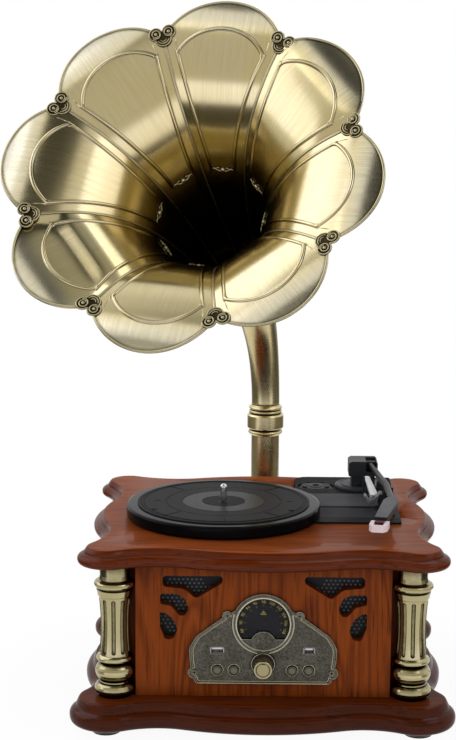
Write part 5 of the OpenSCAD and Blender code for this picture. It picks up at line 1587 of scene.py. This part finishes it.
def paper_floor():
    """Pale paper that fades into the white backdrop, and still takes the object's shadow."""
    material = bpy.data.materials.new("Floor paper")
    material.use_nodes = True
    material.node_tree.nodes.clear()
    n = Nodes(material.node_tree)
    place = n.place()
    fibre = n.noise(place, 300.0, 3.0)
    tone = n.mix(n.spread(fibre, 0.3, 0.7, 0.0, 0.06), colours().paper, (0.75, 0.75, 0.75))
    paper = n.add("ShaderNodeBsdfDiffuse", {"Color": tone})
    glow = n.add("ShaderNodeEmission", {"Color": WHITE, "Strength": 1.0})
    path = n.add("ShaderNodeLightPath").outputs
    seen = n.maths("MAXIMUM", path["Is Camera Ray"],
                   n.maths("MAXIMUM", path["Is Glossy Ray"], path["Is Transmission Ray"]))
    share = n.spread(n.from_z(place), 0.21, 0.38, 0.94, 1.0)
    both = n.add("ShaderNodeMixShader", {"Fac": n.times(seen, share)})
    n.put(both.inputs[1], paper.outputs[0])
    n.put(both.inputs[2], glow.outputs[0])
    n.add("ShaderNodeOutputMaterial", {"Surface": both.outputs[0]})
    return material


def studio_world():
    """White behind the object, and a greyer room in front of it that is dark overhead."""
    world = bpy.data.worlds.new("Studio")
    bpy.context.scene.world = world
    world.use_nodes = True
    world.node_tree.nodes.clear()
    n = Nodes(world.node_tree)
    path = n.add("ShaderNodeLightPath").outputs
    way = n.add("ShaderNodeTexCoord").outputs["Generated"]
    ahead, height = n.axis(way, 1), n.axis(way, 2)
    # The angle from straight in front of the object, in radians
    side = n.maths("ARCTAN2", n.axis(way, 0), n.times(ahead, -1.0))
    wall = n.mix(n.spread(height, 0.76, 0.815), (0.68, 0.66, 0.60), (0.050, 0.050, 0.045))
    wall = n.mix(n.spread(height, 0.95, 0.995), wall, (0.42, 0.42, 0.38))
    back = n.mix(n.spread(height, 0.92, 0.985), WHITE, (0.45, 0.45, 0.42))
    room = n.mix(n.spread(ahead, -0.22, 0.08), wall, back)
    # A pale patch high on the right
    patch = n.times(n.band(side, 0.44, 0.50, 1.10, 1.30), n.band(height, 0.52, 0.60, 0.77, 0.80))
    room = n.mix(n.times(patch, 0.5), room, (1.2, 1.2, 1.2))
    # Dark below the table, but for a bright strip low in front
    under = n.times(n.spread(height, -0.01, -0.12), n.spread(ahead, 0.90, 0.70, 0.65, 1.0))
    room = n.mix(under, room, (0.085, 0.08, 0.07))
    strip = n.times(n.spread(height, 0.02, -0.06), n.band(side, -1.15, -0.95, 0.95, 1.15))
    room = n.mix(n.times(strip, n.spread(height, -0.37, -0.31)), room, (1.50, 1.54, 1.85))
    fill = n.mix(n.spread(ahead, -0.6, 0.6), (0.95, 0.95, 0.95), (0.45, 0.45, 0.45))
    seen = n.maths("MAXIMUM", path["Is Camera Ray"], path["Is Transmission Ray"])
    soft = n.mix(path["Is Diffuse Ray"], room, fill)
    light = n.add("ShaderNodeBackground", {"Color": n.mix(seen, soft, WHITE), "Strength": 1.0})
    n.add("ShaderNodeOutputWorld", {"Surface": light.outputs[0]})


class GRAMOPHONE_OT_stage(bpy.types.Operator):
    """Makes the floor, the world, the lamps and the camera"""

    bl_idname = "gramophone.stage"
    bl_label = "Stage"

    def execute(self, context):
        scene = context.scene
        scene.view_settings.view_transform = "Standard"
        bm = bmesh.new()
        bm.faces.new([bm.verts.new((x, y, 0)) for x, y in FLOOR])
        floor = linked("floor", closed_mesh("floor", bm))
        floor.data.materials.append(paper_floor())
        studio_world()
        for name, lamp in LAMPS.items():
            softbox(name, *lamp)
        lens = bpy.data.cameras.new("camera")
        lens.lens = CAMERA_LENS
        lens.sensor_width = CAMERA_SENSOR
        lens.sensor_fit = "AUTO"
        lens.shift_x = CAMERA_SHIFT
        lens.dof.use_dof = False
        camera = linked("camera", lens)
        pitch = Matrix.Rotation(math.radians(90 - CAMERA_DIP), 4, "X")
        camera.matrix_world = Matrix.Translation(CAMERA_PLACE) @ pitch @ turned_by(CAMERA_ROLL)
        scene.camera = camera
        return {"FINISHED"}


OPERATORS = (
    GRAMOPHONE_OT_petals, GRAMOPHONE_OT_ornaments, GRAMOPHONE_OT_neck, GRAMOPHONE_OT_boards,
    GRAMOPHONE_OT_cabinet, GRAMOPHONE_OT_controls, GRAMOPHONE_OT_deck, GRAMOPHONE_OT_tonearm,
    GRAMOPHONE_OT_stage,
)


class GRAMOPHONE_PT_pieces(bpy.types.Panel):
    """Lists the pieces, the sizes and the colours"""

    bl_label = "Horn gramophone"
    bl_idname = "GRAMOPHONE_PT_pieces"
    bl_space_type = "VIEW_3D"
    bl_region_type = "UI"
    bl_category = "Gramophone"

    def draw(self, context):
        column = self.layout.column()
        for operator in OPERATORS:
            column.operator(operator.bl_idname)
        for settings in (context.scene.gramophone_sizes, context.scene.gramophone_colours):
            for name in settings.__annotations__:
                column.prop(settings, name)


CLASSES = (GramophoneSizes, GramophoneColours, *OPERATORS, GRAMOPHONE_PT_pieces)


def register():
    for cls in CLASSES:
        bpy.utils.register_class(cls)
    bpy.types.Scene.gramophone_sizes = PointerProperty(type=GramophoneSizes)
    bpy.types.Scene.gramophone_colours = PointerProperty(type=GramophoneColours)


def unregister():
    del bpy.types.Scene.gramophone_colours
    del bpy.types.Scene.gramophone_sizes
    for cls in reversed(CLASSES):
        bpy.utils.unregister_class(cls)


def main():
    register()
    bpy.ops.gramophone.stage()
    bpy.ops.gramophone.petals()
    bpy.ops.gramophone.ornaments()
    bpy.ops.gramophone.neck()
    bpy.ops.gramophone.boards()
    bpy.ops.gramophone.cabinet()
    bpy.ops.gramophone.controls()
    bpy.ops.gramophone.deck()
    bpy.ops.gramophone.tonearm()


if __name__ == "__main__":
    main()
